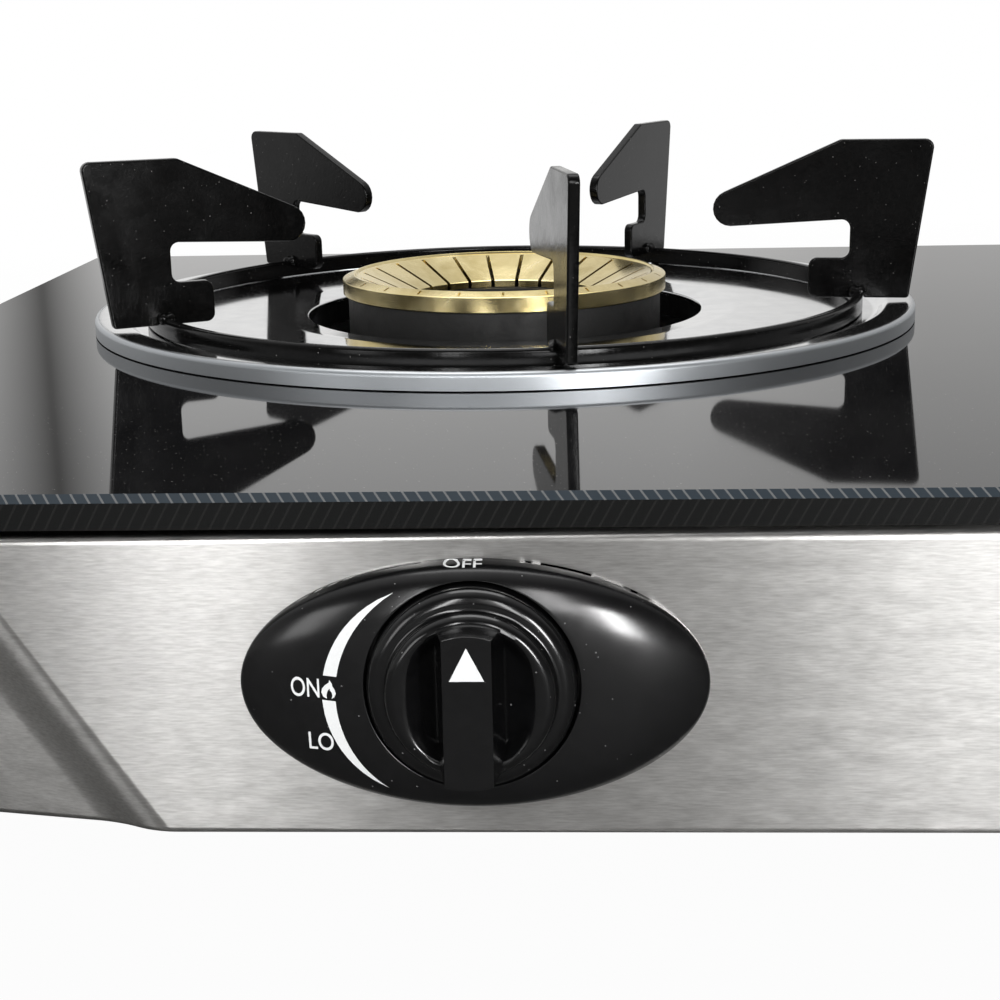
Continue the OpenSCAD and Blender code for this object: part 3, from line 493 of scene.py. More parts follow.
def brushed_panel():
    mat, tree, bsdf = new_finish("brushed stainless panel", Metallic=1, Anisotropic=0.95,
                                 Anisotropic_Rotation=0.25)
    g = placed(tree, grain, Lines=2400.0, Length=280.0)
    tone = between(tree, g.outputs["Fine"], 0.3, 0.7, 0.0, 1.0)
    paint(tree, bsdf, tone, (0.56, 0.55, 0.535), (0.74, 0.73, 0.715))
    tree.links.new(between(tree, g.outputs["Broad"], 0.25, 0.75, 0.28, 0.36), bsdf.inputs["Roughness"])
    tangent = add(tree, "ShaderNodeTangent", direction_type="RADIAL", axis="Z")
    tree.links.new(tangent.outputs[0], bsdf.inputs["Tangent"])
    bump(tree, bsdf, g.outputs["Fine"], 0.15, 0.00005)
    return mat


def polished_pan():
    mat, tree, bsdf = new_finish("polished pan steel", Metallic=1)
    h = placed(tree, handling, Size=18.0)
    x, y = where(tree)[:2]
    across = math_node(tree, "SUBTRACT", math_node(tree, "ABSOLUTE", x), BURNER["right"].x)
    along = math_node(tree, "SUBTRACT", y, BURNER["right"].y)
    radius = math_node(tree, "SQRT", math_node(tree, "ADD", math_node(tree, "MULTIPLY", across, across),
                                               math_node(tree, "MULTIPLY", along, along)))
    # The rolled rim is satin, the dish inside it polished
    rim = between(tree, radius, 0.1238, 0.1256, 0.0, 1.0)
    gloss = math_node(tree, "ADD", between(tree, h.outputs["Smear"], 0.3, 0.75, 0.05, 0.12),
                      math_node(tree, "MULTIPLY", rim, 0.36))
    tree.links.new(gloss, bsdf.inputs["Roughness"])
    tone = between(tree, h.outputs["Fine"], 0.35, 0.7, 0.0, 1.0)
    steel = blend_colour(tree, tone, (0.60, 0.605, 0.615), (0.69, 0.695, 0.70))
    paint(tree, bsdf, rim, steel, (0.40, 0.42, 0.44))
    bump(tree, bsdf, h.outputs["Smear"], 0.03, 0.0004)
    return mat


def black_enamel():
    mat, tree, bsdf = new_finish("gloss black enamel", Specular_IOR_Level=0.16)
    h = uneven_gloss(tree, bsdf, 90.0, 0.10, 0.24, 0.75)
    worn = between(tree, h.outputs["Fine"], 0.4, 0.75, 0.0, 1.0)
    base = blend_colour(tree, worn, (0.0015, 0.0015, 0.0015), (0.004, 0.0038, 0.0037))
    dust_over(tree, bsdf, base, 2400.0, 0.02, 0.4, (0.3, 0.29, 0.28))
    bump(tree, bsdf, h.outputs["Fine"], 0.25, 0.0001)
    return mat


def turned_brass():
    mat, tree, bsdf = new_finish("turned brass", Metallic=1)
    h = uneven_gloss(tree, bsdf, 70.0, 0.16, 0.30, 0.75)
    tone = between(tree, h.outputs["Smear"], 0.35, 0.68, 0.0, 1.0)
    paint(tree, bsdf, tone, (0.62, 0.50, 0.22), (0.78, 0.66, 0.36))
    bump(tree, bsdf, h.outputs["Fine"], 0.1, 0.0001)
    return mat


def casting():
    mat, tree, bsdf = new_finish("black heat-proof casting")
    h = uneven_gloss(tree, bsdf, 160.0, 0.5, 0.75, 0.75)
    paint(tree, bsdf, h.outputs["Fine"], (0.003, 0.003, 0.003), (0.011, 0.0105, 0.01))
    bump(tree, bsdf, h.outputs["Smear"], 0.5, 0.0004)
    return mat


def black_rubber():
    mat, tree, bsdf = new_finish("black rubber")
    h = uneven_gloss(tree, bsdf, 120.0, 0.55, 0.8, 0.75)
    paint(tree, bsdf, h.outputs["Fine"], (0.012, 0.012, 0.012), (0.045, 0.044, 0.043))
    bump(tree, bsdf, h.outputs["Fine"], 0.3, 0.0002)
    return mat


def galvanised():
    mat, tree, bsdf = new_finish("galvanised sheet", Metallic=1)
    coords = tree.nodes.new("ShaderNodeTexCoord")
    spangle = add(tree, "ShaderNodeTexVoronoi", {"Scale": 130.0})
    tree.links.new(coords.outputs["Object"], spangle.inputs["Vector"])
    tone = tree.nodes.new("ShaderNodeSeparateColor")
    tree.links.new(spangle.outputs["Color"], tone.inputs[0])
    paint(tree, bsdf, tone.outputs[0], (0.44, 0.45, 0.46), (0.62, 0.63, 0.64))
    tree.links.new(between(tree, tone.outputs[1], 0, 1, 0.36, 0.52), bsdf.inputs["Roughness"])
    h = placed(tree, handling, Size=60.0)
    bump(tree, bsdf, h.outputs["Fine"], 0.1, 0.0001)
    return mat


def white_print():
    mat, tree, bsdf = new_finish("white print")
    h = uneven_gloss(tree, bsdf, 300.0, 0.35, 0.5)
    paint(tree, bsdf, h.outputs["Fine"], (0.70, 0.71, 0.71), (0.86, 0.87, 0.87))
    return mat


FINISH = {
    "black_glass": black_glass(),
    "brushed_panel": brushed_panel(),
    "tray_steel": galvanised(),
    "polished_pan": polished_pan(),
    "black_enamel": black_enamel(),
    "brass": turned_brass(),
    "black_casting": casting(),
    "rubber": black_rubber(),
    "knob_plastic": moulding("gloss black knob", (0.002, 0.002, 0.0022), 0.15, 0.00006),
    "bezel_plastic": moulding("semi-gloss black bezel", (0.0025, 0.0025, 0.0027), 0.2, 0.00008),
    "zinc_steel": metal("zinc-plated steel", (0.66, 0.66, 0.64), (0.52, 0.52, 0.51), 0.25, 0.42),
    "copper": metal("drawn copper", (0.78, 0.45, 0.28), (0.58, 0.31, 0.19), 0.22, 0.4),
    "ceramic": plain("glazed ceramic", (0.72, 0.70, 0.64), (0.86, 0.84, 0.78), 0.12, 0.25, 90),
    "igniter_plastic": moulding("black igniter case", (0.012, 0.012, 0.012), 0.45, 0.0002),
    "lead_sleeve": plain("red silicone sleeve", (0.36, 0.035, 0.025), (0.5, 0.06, 0.04), 0.45, 0.6, 200),
}
PRINT = white_print()
slot_of = {s["node"]: s["material_slot"] for s in frame["record"]["subparts"]}
for name, obj in nodes.items():
    obj.data.materials.clear()
    obj.data.materials.append(FINISH[slot_of[name]])


# Studio

WHITE = (1, 1, 1, 1)
FLOOR_TONE = (0.11, 0.11, 0.108, 1)
DIM_ROOM = (0.1, 0.098, 0.095)
WALL_LOW, WALL_HIGH = (0.86, 0.85, 0.83), (0.92, 0.92, 0.92)
MIRRORED_WHITE = 0.3


def background_rays(tree, mirrored):
    """1 for the camera's own rays, and the share given for those that metal and glass send on."""
    path = tree.nodes.new("ShaderNodeLightPath").outputs
    sent_on = math_node(tree, "MAXIMUM", path["Is Glossy Ray"], path["Is Transmission Ray"])
    shown = math_node(tree, "MULTIPLY", sent_on, mirrored)
    return math_node(tree, "MAXIMUM", path["Is Camera Ray"], shown)


def mixed(tree, share, lit, white, out):
    """Show white in place of what is lit, by a share."""
    mix = tree.nodes.new("ShaderNodeMixShader")
    tree.links.new(share, mix.inputs[0])
    tree.links.new(lit.outputs[0], mix.inputs[1])
    tree.links.new(white.outputs[0], mix.inputs[2])
    tree.links.new(mix.outputs[0], out.inputs[0])


def pale_floor():
    mat, tree, bsdf = new_finish("pale floor", Base_Color=FLOOR_TONE, Roughness=0.7)
    white = add(tree, "ShaderNodeEmission", {"Color": WHITE, "Strength": 1.0})
    coords = tree.nodes.new("ShaderNodeTexCoord")
    far = add(tree, "ShaderNodeVectorMath", operation="LENGTH")
    tree.links.new(coords.outputs["Object"], far.inputs[0])
    # Near the part a little of the lit floor stays, and with it the shadow
    whiteness = between(tree, far.outputs["Value"], 0.45, 1.1, 0.97, 1.0)
    behind = between(tree, where(tree)[1], 0.2, 0.3, 0.0, 1.0)
    out = [n for n in tree.nodes if n.type == "OUTPUT_MATERIAL"][0]
    mixed(tree, math_node(tree, "MULTIPLY", background_rays(tree, behind), whiteness), bsdf, white, out)
    deselect()
    bpy.ops.mesh.primitive_plane_add(size=30, location=(0, 0, 0))
    floor = bpy.context.object
    floor.name = "floor"
    floor.data.materials.append(mat)


def room():
    world = bpy.data.worlds.new("studio")
    bpy.context.scene.world = world
    world.use_nodes = True
    tree = world.node_tree
    tree.nodes.clear()
    out = tree.nodes.new("ShaderNodeOutputWorld")
    sky = tree.nodes.new("ShaderNodeBackground")
    x, y, z = where(tree, "Generated")
    walls = blend_colour(tree, between(tree, z, 0.0, 0.5, 0.0, 1.0), WALL_LOW, WALL_HIGH)
    # Light walls behind and above, a dim room in front and at the sides
    light = math_node(tree, "ADD", math_node(tree, "MULTIPLY", y, 1.6), z, clamp=True)
    # A darker upright strip of the wall behind, to the left, and a dimmer stretch to the right
    aside = math_node(tree, "DIVIDE", x, math_node(tree, "MAXIMUM", y, 0.05))
    strip = math_node(tree, "MULTIPLY", between(tree, aside, -0.314, -0.268, 1.0, 0.0),
                      between(tree, aside, -0.37, -0.316, 0.0, 1.0))
    light = math_node(tree, "MULTIPLY", light, between(tree, strip, 0.0, 1.0, 1.0, 0.08))
    light = math_node(tree, "MULTIPLY", light, between(tree, aside, 0.06, 0.2, 1.0, 0.66))
    # A half-lit wall at the far left
    light = math_node(tree, "ADD", light, between(tree, x, -0.95, -0.55, 0.35, 0.0), clamp=True)
    tree.links.new(blend_colour(tree, light, DIM_ROOM, walls), sky.inputs["Color"])
    white = add(tree, "ShaderNodeBackground", {"Color": WHITE, "Strength": 1.0})
    mixed(tree, background_rays(tree, math_node(tree, "MULTIPLY", light, MIRRORED_WHITE)), sky, white, out)


def softbox(name, place, target, width, height, power):
    lamp = bpy.data.lights.new(name, "AREA")
    lamp.shape = "RECTANGLE"
    lamp.size, lamp.size_y = width, height
    lamp.energy = power
    obj = bpy.data.objects.new(name, lamp)
    bpy.context.scene.collection.objects.link(obj)
    aim = Vector(target) - Vector(place)
    obj.matrix_world = Matrix.Translation(place) @ aim.to_track_quat("-Z", "Y").to_matrix().to_4x4()


pale_floor()
room()
softbox("left strip light", (-0.68, -2.1, 0.9), (-0.24, -0.18, 0.05), 0.18, 1.3, 13)
softbox("right strip light", (0.4, -2.1, 0.95), (-0.09, -0.18, 0.05), 0.3, 1.2, 13)
softbox("front fill", (0.12, -2.1, 1.0), (-0.14, -0.18, 0.05), 0.5, 1.2, 2.2)
softbox("left wide light", (-1.64, -1.67, 0.55), (-0.3, -0.18, 0.05), 0.5, 0.9, 5.5)
softbox("key softbox", (0.62, -1.57, 0.31), (-0.18, -0.19, 0.05), 0.22, 0.58, 16)
softbox("top softbox", (-0.1, 0.35, 1.7), (-0.1, 0, 0.08), 1.3, 0.9, 12)

bpy.context.scene.view_settings.view_transform = "Standard"


# Drip pans

PAN_R, PAN_RIM_H, PAN_T = 126.0, 4.9, 0.8
DISH_OUT, DISH_Z, DISH_SLOPE = 117.0, 2.1, 2.5
PAN_SLOPE_R, PAN_HOLE_R, PAN_HOLE_Z, LIFT = 71.5, 61.4, 1.2, 0.3
PAN_EDGE_R, PAN_LIP_R, PAN_BEND_R, RIM_FALL = 1.4, 0.4, 1.2, 0.2
ROUND_STEPS = 192


def drip_pan(side):
    rim = (DISH_OUT, PAN_RIM_H - RIM_FALL)
    foot = (DISH_OUT - DISH_SLOPE, DISH_Z)
    brink = (PAN_SLOPE_R, DISH_Z)
    outline = [(PAN_R, LIFT), (PAN_R, LIFT + 0.5)]
    outline += fillet((PAN_R - PAN_EDGE_R, PAN_RIM_H - PAN_EDGE_R), PAN_EDGE_R, 0, 90, 6)
    outline += [(DISH_OUT + 3, PAN_RIM_H - 0.12), rim, foot, brink]
    outline += fillet((PAN_HOLE_R + PAN_LIP_R, PAN_HOLE_Z - PAN_LIP_R), PAN_LIP_R, 95, 265, 6)
    outline += [(PAN_SLOPE_R, DISH_Z - PAN_T), (foot[0] + 0.3, DISH_Z - PAN_T),
                (rim[0] + 0.3, rim[1] - PAN_T), (PAN_R - PAN_EDGE_R, PAN_RIM_H - PAN_T),
                (PAN_R - PAN_T, PAN_RIM_H - PAN_EDGE_R), (PAN_R - PAN_T, LIFT)]
    obj = turned(side + "_pan_dish", outline, ROUND_STEPS)

    def on_bend(p):
        radius = math.hypot(p.x, p.y)
        return any(abs(radius - r) < 0.15 and abs(p.z - z) < 0.05 for r, z in (rim, foot, brink))

    pick(obj, on_bend, "EDGE")
    bpy.ops.mesh.bevel(offset=PAN_BEND_R, segments=4, affect="EDGES")
    set_down(obj, on_burner(side), 40)
    return fit(obj, side + "_pan", "polished_pan", FINISH["polished_pan"], side + "_drip_pan")


for side in SIDES:
    drip_pan(side)


# Pan supports

RING_R, BAR_T, RING_Z, RING_TOP = 109.0, 3.0, 2.4, 7.8
ARM_TURN, ARM_COUNT = 10, 5
FOOT_Z, NOTCH_W, NOTCH_TOP = 5.6, 3.2, 7.9
ARM_TOP, ARM_OUT_TOP, ARM_OUT_FOOT = 52.6, 129.5, 124.0
ARM_LEVEL_R, ARM_TIP_R, TIP_LOW, TIP_ROUND = 103.0, 65.0, 27.0, 5.35
UPRIGHT_R, TAB_R, TAB_TOP, CORNER = 106.0, 94.0, 17.6, 2.5
RING_EDGE, RING_BREAK, ARM_EDGE = 1.1, 0.3, 0.55
BEAD_SIZE, BEAD_TURN = (2.9, 1.5, 1.5), 20
BEAD_LUMPS = ((-1.5, 0.35), (0.2, -0.1), (1.8, 0.25))


def arm_angles(side):
    turns = [ARM_TURN - 90 + 360 * i / ARM_COUNT for i in range(ARM_COUNT)]
    return turns if side == "left" else [180 - a for a in turns]


def support_ring(side):
    inner, outer = RING_R - BAR_T / 2, RING_R + BAR_T / 2
    outline = [(inner, RING_Z + RING_BREAK), (inner + RING_BREAK, RING_Z),
               (outer - RING_BREAK, RING_Z), (outer, RING_Z + RING_BREAK)]
    outline += fillet((outer - RING_EDGE, RING_TOP - RING_EDGE), RING_EDGE, 0, 90, 5)
    outline += fillet((inner + RING_EDGE, RING_TOP - RING_EDGE), RING_EDGE, 90, 180, 5)
    obj = turned(side + "_pan_ring", outline, ROUND_STEPS)
    set_down(obj, on_burner(side), 50)
    return fit(obj, side + "_support", "black_enamel", FINISH["black_enamel"], side + "_support_ring")


def support_arms(side):
    slope = math.degrees(math.atan2(ARM_TOP - (TIP_LOW + 2 * TIP_ROUND), ARM_LEVEL_R - ARM_TIP_R - 3))
    outline = fillet((ARM_OUT_FOOT - 1, FOOT_Z + 1), 1, -90, 0, 3) + \
        fillet((ARM_OUT_TOP - CORNER, ARM_TOP - CORNER), CORNER, 0, 90, 5) + \
        fillet((ARM_LEVEL_R, ARM_TOP - CORNER), CORNER, 90, 90 + slope, 3) + \
        fillet((ARM_TIP_R + TIP_ROUND, TIP_LOW + TIP_ROUND), TIP_ROUND, 90 + slope, 270, 9) + \
        fillet((UPRIGHT_R - CORNER, TIP_LOW + 2 - CORNER), CORNER, 90, 0, 5) + \
        fillet((UPRIGHT_R - CORNER, TAB_TOP + CORNER), CORNER, 0, -90, 5) + \
        fillet((TAB_R + CORNER, TAB_TOP - CORNER), CORNER, 90, 180, 5) + \
        fillet((TAB_R + CORNER, FOOT_Z + CORNER), CORNER, 180, 270, 5) + [
            (RING_R - NOTCH_W / 2, FOOT_Z), (RING_R - NOTCH_W / 2, NOTCH_TOP),
            (RING_R + NOTCH_W / 2, NOTCH_TOP), (RING_R + NOTCH_W / 2, FOOT_Z)]
    arm = plate("arm", outline, BAR_T)
    rounded_edges(arm, ARM_EDGE, 3, 50)
    moved(arm, about("X", 90) @ shifted(0, 0, -BAR_T / 2))
    arms = [moved(copied(arm, "arm turned"), about("Z", angle)) for angle in arm_angles(side)]
    bpy.data.objects.remove(arm)
    obj = joined(arms, side + "_pan_arms")
    set_down(obj, on_burner(side), 40)
    return fit(obj, side + "_support", "black_enamel", FINISH["black_enamel"], side + "_support_arms")


def weld_beads(side):
    """Lumpy enamelled welds, on both faces of every arm, where it sits on the ring."""
    deselect()
    bpy.ops.mesh.primitive_uv_sphere_add(segments=16, ring_count=10, radius=1)
    bead = bpy.context.object
    work_on(bead)
    bpy.ops.transform.resize(value=BEAD_SIZE)
    for x, lift in BEAD_LUMPS:
        pick(bead, lambda p: abs(p.x - x) < 0.75, "VERT")
        bpy.ops.transform.resize(value=(1, 1 + lift, 1 + lift), center_override=(x, 0, 0))
    beads = []
    for angle in arm_angles(side):
        for face in (-1, 1):
            spot = shifted(RING_R - 0.4, face * (BAR_T / 2 + 0.5), RING_TOP - 0.1)
            place = about("Z", angle) @ spot @ about("Z", BEAD_TURN * face)
            beads.append(moved(copied(bead, "bead turned"), place))
    bpy.data.objects.remove(bead)
    obj = joined(beads, side + "_weld_beads")
    set_down(obj, on_burner(side), 80)
    return fit(obj, side + "_support", "black_enamel", FINISH["black_enamel"])


for side in SIDES:
    support_ring(side)
    support_arms(side)
    weld_beads(side)


# Burner caps

CAP_R, CAP_BASE, WALL_TOP, RIDGE_R, CAP_TOP = 50.4, 7.4, 12.0, 47.0, 13.4
CONE_R, CONE_TOP, CONE_LOW, CAP_HOLE_R, CAP_THICK = 45.4, 12.6, 6.0, 30.0, 2.3
SPIGOT_R, SPIGOT_T, SPIGOT_LOW = 44.5, 3.4, 4.4
SLOT_COUNT, SLOT_W, SLOT_TURN, SLOT_IN, SLOT_OUT = 24, 1.2, -5.5, 28.0, 44.8
SLOT_H, NICK_TURN, NICK_W, NICK_L, NICK_DEPTH = 12, 2.0, 0.7, 2.1, 0.5


def burner_cap(side):
    outline = [(CAP_R - 0.3, CAP_BASE), (CAP_R, CAP_BASE + 0.3),
               (CAP_R, WALL_TOP - 0.1), (CAP_R - 0.25, WALL_TOP + 0.1),
               (RIDGE_R + 0.3, CAP_TOP - 0.12), (RIDGE_R, CAP_TOP - 0.05), (RIDGE_R - 0.3, CAP_TOP - 0.2),
               (RIDGE_R - 0.7, CONE_TOP + 0.05), (CONE_R, CONE_TOP),
               (CAP_HOLE_R + 0.5, CONE_LOW + 0.1), (CAP_HOLE_R, CONE_LOW - 0.3),
               (CAP_HOLE_R, CONE_LOW - CAP_THICK), (SPIGOT_R - SPIGOT_T, CAP_BASE - LIFT),
               (SPIGOT_R - SPIGOT_T, SPIGOT_LOW), (SPIGOT_R, SPIGOT_LOW), (SPIGOT_R, CAP_BASE)]
    cap = turned(side + "_brass_cap", outline, 240)
    # Slots through the cone, and short nicks between them on the sloped rim
    rim_lean = math.degrees(math.atan2(CAP_TOP - WALL_TOP, CAP_R - RIDGE_R))
    on_cone = shifted((SLOT_OUT + SLOT_IN) / 2, 0, CONE_LOW + 3)
    on_rim = shifted((CAP_R + RIDGE_R) / 2, 0, (CAP_TOP + WALL_TOP) / 2) @ about("Y", rim_lean)
    tools = []
    for turn, size, place in ((SLOT_TURN, (SLOT_OUT - SLOT_IN, SLOT_W, SLOT_H), on_cone),
                              (NICK_TURN, (NICK_L, NICK_W, 2 * NICK_DEPTH), on_rim)):
        for i in range(SLOT_COUNT):
            angle = 90 + turn + 360 * i / SLOT_COUNT
            tools.append(block("slot", size, about("Z", angle if side == "left" else 180 - angle) @ place))
    cut(cap, joined(tools, "slots"))
    set_down(cap, on_burner(side), 25)
    return fit(cap, side + "_cap", "brass", FINISH["brass"], side + "_burner_cap")


for side in SIDES:
    burner_cap(side)


# Knobs

KNOB_R, FLANGE_Z, FLANGE_TOP, FACE_Z, KNOB_REACH = 20.6, 4.5, 11.0, 14.5, 22.0
KNOB_RING_R, GRIP_END_R, GRIP_ROOT_W, GRIP_FRONT_W = 16.8, 15.4, 13.5, 9.3
SCOOP_REACH, SCOOP_DEPTH, SCOOP_END_R, SCOOP_SOFT = 6.2, 3.3, 15.0, 3.6
STEM_R, STEM_END, RING_ROUND, FLANGE_ROUND, GRIP_ROUND = 4.05, 18.7, 2.4, 3.0, 1.1
KNOB_BREAK, FACE_RINGS = 0.6, 30
POINTER = [(-3.3, 6.65), (3.3, 6.65), (0, 13.2)]


def eased(share):
    share = min(1, max(0, share))
    return share * share * (3 - 2 * share)


def scoop_depth(x, y):
    """Depth below the knob's face of the finger hollows, which slope down to the grip."""
    to_grip = min(1, max(0, 1 - (abs(x) - GRIP_ROOT_W / 2) / SCOOP_REACH))
    to_rim = eased((SCOOP_END_R - math.hypot(x, y)) / SCOOP_SOFT)
    return SCOOP_DEPTH * (0.75 * to_grip + 0.25 * eased(to_grip)) * to_rim


def knob(side):
    face_r = KNOB_RING_R - RING_ROUND
    outline = [(STEM_R, FLANGE_Z), (KNOB_R - KNOB_BREAK, FLANGE_Z), (KNOB_R, FLANGE_Z + KNOB_BREAK)]
    outline += fillet((KNOB_R - FLANGE_ROUND, FLANGE_TOP - FLANGE_ROUND), FLANGE_ROUND, 0, 90, 8)
    outline += [(KNOB_RING_R + 0.45, FLANGE_TOP), (KNOB_RING_R + 0.1, FLANGE_TOP + 0.2)]
    outline += fillet((face_r, FACE_Z - RING_ROUND), RING_ROUND, 0, 90, 8)
    outline += [(face_r - (face_r - STEM_R) * i / FACE_RINGS, FACE_Z) for i in range(1, FACE_RINGS + 1)]
    base = turned("knob base", outline, ROUND_STEPS)
    bpy.ops.object.mode_set(mode="OBJECT")
    for v in base.data.vertices:
        if v.co.z > FACE_Z - 0.01:
            v.co.z -= scoop_depth(v.co.x, v.co.y)
    deselect()
    bpy.ops.mesh.primitive_cube_add(size=2)
    grip = bpy.context.object
    work_on(grip)
    bpy.ops.transform.resize(value=(GRIP_ROOT_W / 2, KNOB_RING_R, (KNOB_REACH - FLANGE_TOP) / 2))
    bpy.ops.transform.translate(value=(0, 0, (KNOB_REACH + FLANGE_TOP) / 2))
    pick(grip, lambda p: p.z > KNOB_REACH - 0.1, "FACE")
    bpy.ops.transform.resize(value=(GRIP_FRONT_W / GRIP_ROOT_W, 1, 1))
    deselect()
    bpy.ops.mesh.primitive_cylinder_add(vertices=128, radius=GRIP_END_R, depth=60)
    cut(grip, bpy.context.object, "INTERSECT")
    rounded_edges(grip, GRIP_ROUND, 4, 40)
    deselect()
    bpy.ops.mesh.primitive_cylinder_add(vertices=48, radius=STEM_R, depth=STEM_END)
    cut(grip, moved(bpy.context.object, shifted(0, 0, STEM_END / 2)))
    obj = joined([base, grip], side + "_knob_moulding")
    set_down(obj, on_control(side), 32)
    fit(obj, side + "_control", "knob_plastic", FINISH["knob_plastic"], side + "_knob")
    mark = plate(side + "_pointer", POINTER, COAT)
    set_down(moved(mark, shifted(0, 0, KNOB_REACH - 0.05)), on_control(side), 0)
    return fit(mark, side + "_control", "knob_plastic", PRINT)


for side in SIDES:
    knob(side)


# Bezels

BEZEL_L, BEZEL_H, BEZEL_DROP, BEZEL_DOME, BEZEL_END = 93.4, 51.6, 1.9, 9.5, 3.0
BEZEL_RINGS, BEZEL_STEPS, BEZEL_FOOT = 28, 160, 0.7
WELL_R, WELL_FLOOR, WELL_EDGE, NOSE_HOLE_R = 21.1, 1.0, 0.35, 9.0
ON_OUTLINE, RING_CROWDING = 0.9992, 1.6
DOME_RISE = BEZEL_DOME - BEZEL_END
DOME_R = ((BEZEL_L / 2) ** 2 + DOME_RISE ** 2) / (2 * DOME_RISE)


def edge_share(x, y):
    """0 at the middle of the bezel and 1 on its outline."""
    return math.hypot(x / BEZEL_L, (y + BEZEL_DROP) / BEZEL_H) * 2


def bezel_height(x, y):
    """Height above the panel of the dome, which rolls down to a thin foot at the outline."""
    dome = BEZEL_DOME - DOME_R + math.sqrt(DOME_R ** 2 - x * x - (y + BEZEL_DROP) ** 2)
    return BEZEL_FOOT + (dome - BEZEL_FOOT) * math.sqrt(max(0, 1 - edge_share(x, y) ** 8))


def at_well(p):
    return math.hypot(p.x, p.y) < WELL_R + 0.02


def deselect_uprights(obj):
    """Leave only the level edges selected, in edit mode."""
    bpy.ops.object.mode_set(mode="OBJECT")
    corners = obj.data.vertices
    for e in obj.data.edges:
        a, b = (corners[i].co for i in e.vertices)
        if e.select and abs(a.z - b.z) > (a - b).length / 2:
            e.select = False
    for v in corners:
        v.select = False
    bpy.ops.object.mode_set(mode="EDIT")


def bezel(side):
    deselect()
    bpy.ops.mesh.primitive_circle_add(vertices=BEZEL_STEPS, radius=WELL_R)
    obj = bpy.context.object
    obj.name = side + "_bezel_moulding"
    work_on(obj)
    half_l = half_h = WELL_R
    centre = 0
    for i in range(1, BEZEL_RINGS + 1):
        share = 1 - (1 - i / BEZEL_RINGS) ** RING_CROWDING
        new_l = WELL_R + (BEZEL_L / 2 - WELL_R) * share
        new_h = WELL_R + (BEZEL_H / 2 - WELL_R) * share
        bpy.ops.mesh.extrude_region_move(TRANSFORM_OT_translate={"value": (0, 0, 0)})
        bpy.ops.transform.resize(value=(new_l / half_l, new_h / half_h, 1), center_override=(0, centre, 0))
        bpy.ops.transform.translate(value=(0, -BEZEL_DROP * share - centre, 0))
        half_l, half_h, centre = new_l, new_h, -BEZEL_DROP * share
    bpy.ops.object.mode_set(mode="OBJECT")
    for v in obj.data.vertices:
        v.co.z = bezel_height(v.co.x, v.co.y)
    pick(obj, lambda p: edge_share(p.x, p.y) > ON_OUTLINE, "EDGE")
    bpy.ops.mesh.extrude_region_move(TRANSFORM_OT_translate={"value": (0, 0, -BEZEL_FOOT)})
    pick(obj, at_well, "EDGE")
    bpy.ops.mesh.extrude_region_move(TRANSFORM_OT_translate={"value": (0, 0, -1)})
    bpy.ops.transform.resize(value=(1, 1, 0), center_override=(0, 0, WELL_FLOOR))
    bpy.ops.mesh.extrude_region_move(TRANSFORM_OT_translate={"value": (0, 0, 0)})
    inward = NOSE_HOLE_R / WELL_R
    bpy.ops.transform.resize(value=(inward, inward, 1), center_override=(0, 0, WELL_FLOOR))
    bpy.ops.mesh.extrude_region_move(TRANSFORM_OT_translate={"value": (0, 0, -WELL_FLOOR)})
    bpy.ops.mesh.select_all(action="SELECT")
    bpy.ops.mesh.normals_make_consistent(inside=False)
    pick(obj, lambda p: at_well(p) and p.z > WELL_FLOOR + 2, "EDGE")
    deselect_uprights(obj)
    bpy.ops.mesh.bevel(offset=WELL_EDGE, segments=3, affect="EDGES")
    set_down(obj, on_control(side), 35)
    return fit(obj, "chassis", "bezel_plastic", FINISH["bezel_plastic"], side + "_bezel")


def printed(shape, cuts):
    """Lay a flat shape on the bezel's dome as a thin coat of print."""
    work_on(shape, "FACE")
    bpy.ops.mesh.quads_convert_to_tris()
    bpy.ops.mesh.subdivide(number_cuts=cuts)
    bpy.ops.object.mode_set(mode="OBJECT")
    for v in shape.data.vertices:
        v.co.z = bezel_height(v.co.x, v.co.y) + COAT
    return shape


def lettering(word, place, width, height):
    """Letters that fill a width and height about a place, in millimetres."""
    deselect()
    bpy.ops.object.text_add()
    obj = bpy.context.object
    obj.data.body = word
    obj.data.size = 5
    obj.data.offset = 0.04
    bpy.ops.object.convert(target="MESH")
    obj = bpy.context.object
    xs = [v.co.x for v in obj.data.vertices]
    ys = [v.co.y for v in obj.data.vertices]
    middle = Vector(((max(xs) + min(xs)) / 2, (max(ys) + min(ys)) / 2, 0))
    stretch = Matrix.Diagonal((width / (max(xs) - min(xs)), height / (max(ys) - min(ys)), 1, 1))
    return moved(obj, shifted(*place, 0) @ stretch @ Matrix.Translation(-middle))


SCALE_MIDDLE, SCALE_HALF, SCALE_LEAN = Vector((-15.9, -1.4)), 20.4, math.radians(-3.1)
SCALE_BULGE = (13.6, 10.9)


def heat_scale(low, high, steps=12):
    """A stretch of the heat scale, between two arcs that share their tips."""
    def side_of_scale(bulge):
        radius = (SCALE_HALF ** 2 + bulge ** 2) / (2 * bulge)
        line = []
        for i in range(steps + 1):
            y = low + (high - low) * i / steps
            x = radius - bulge - math.sqrt(radius ** 2 - y * y)
            line.append(Vector((x * math.cos(SCALE_LEAN) - y * math.sin(SCALE_LEAN),
                                x * math.sin(SCALE_LEAN) + y * math.cos(SCALE_LEAN))) + SCALE_MIDDLE)
        return line
    outer, inner = (side_of_scale(b) for b in SCALE_BULGE)
    return outer + inner[::-1]


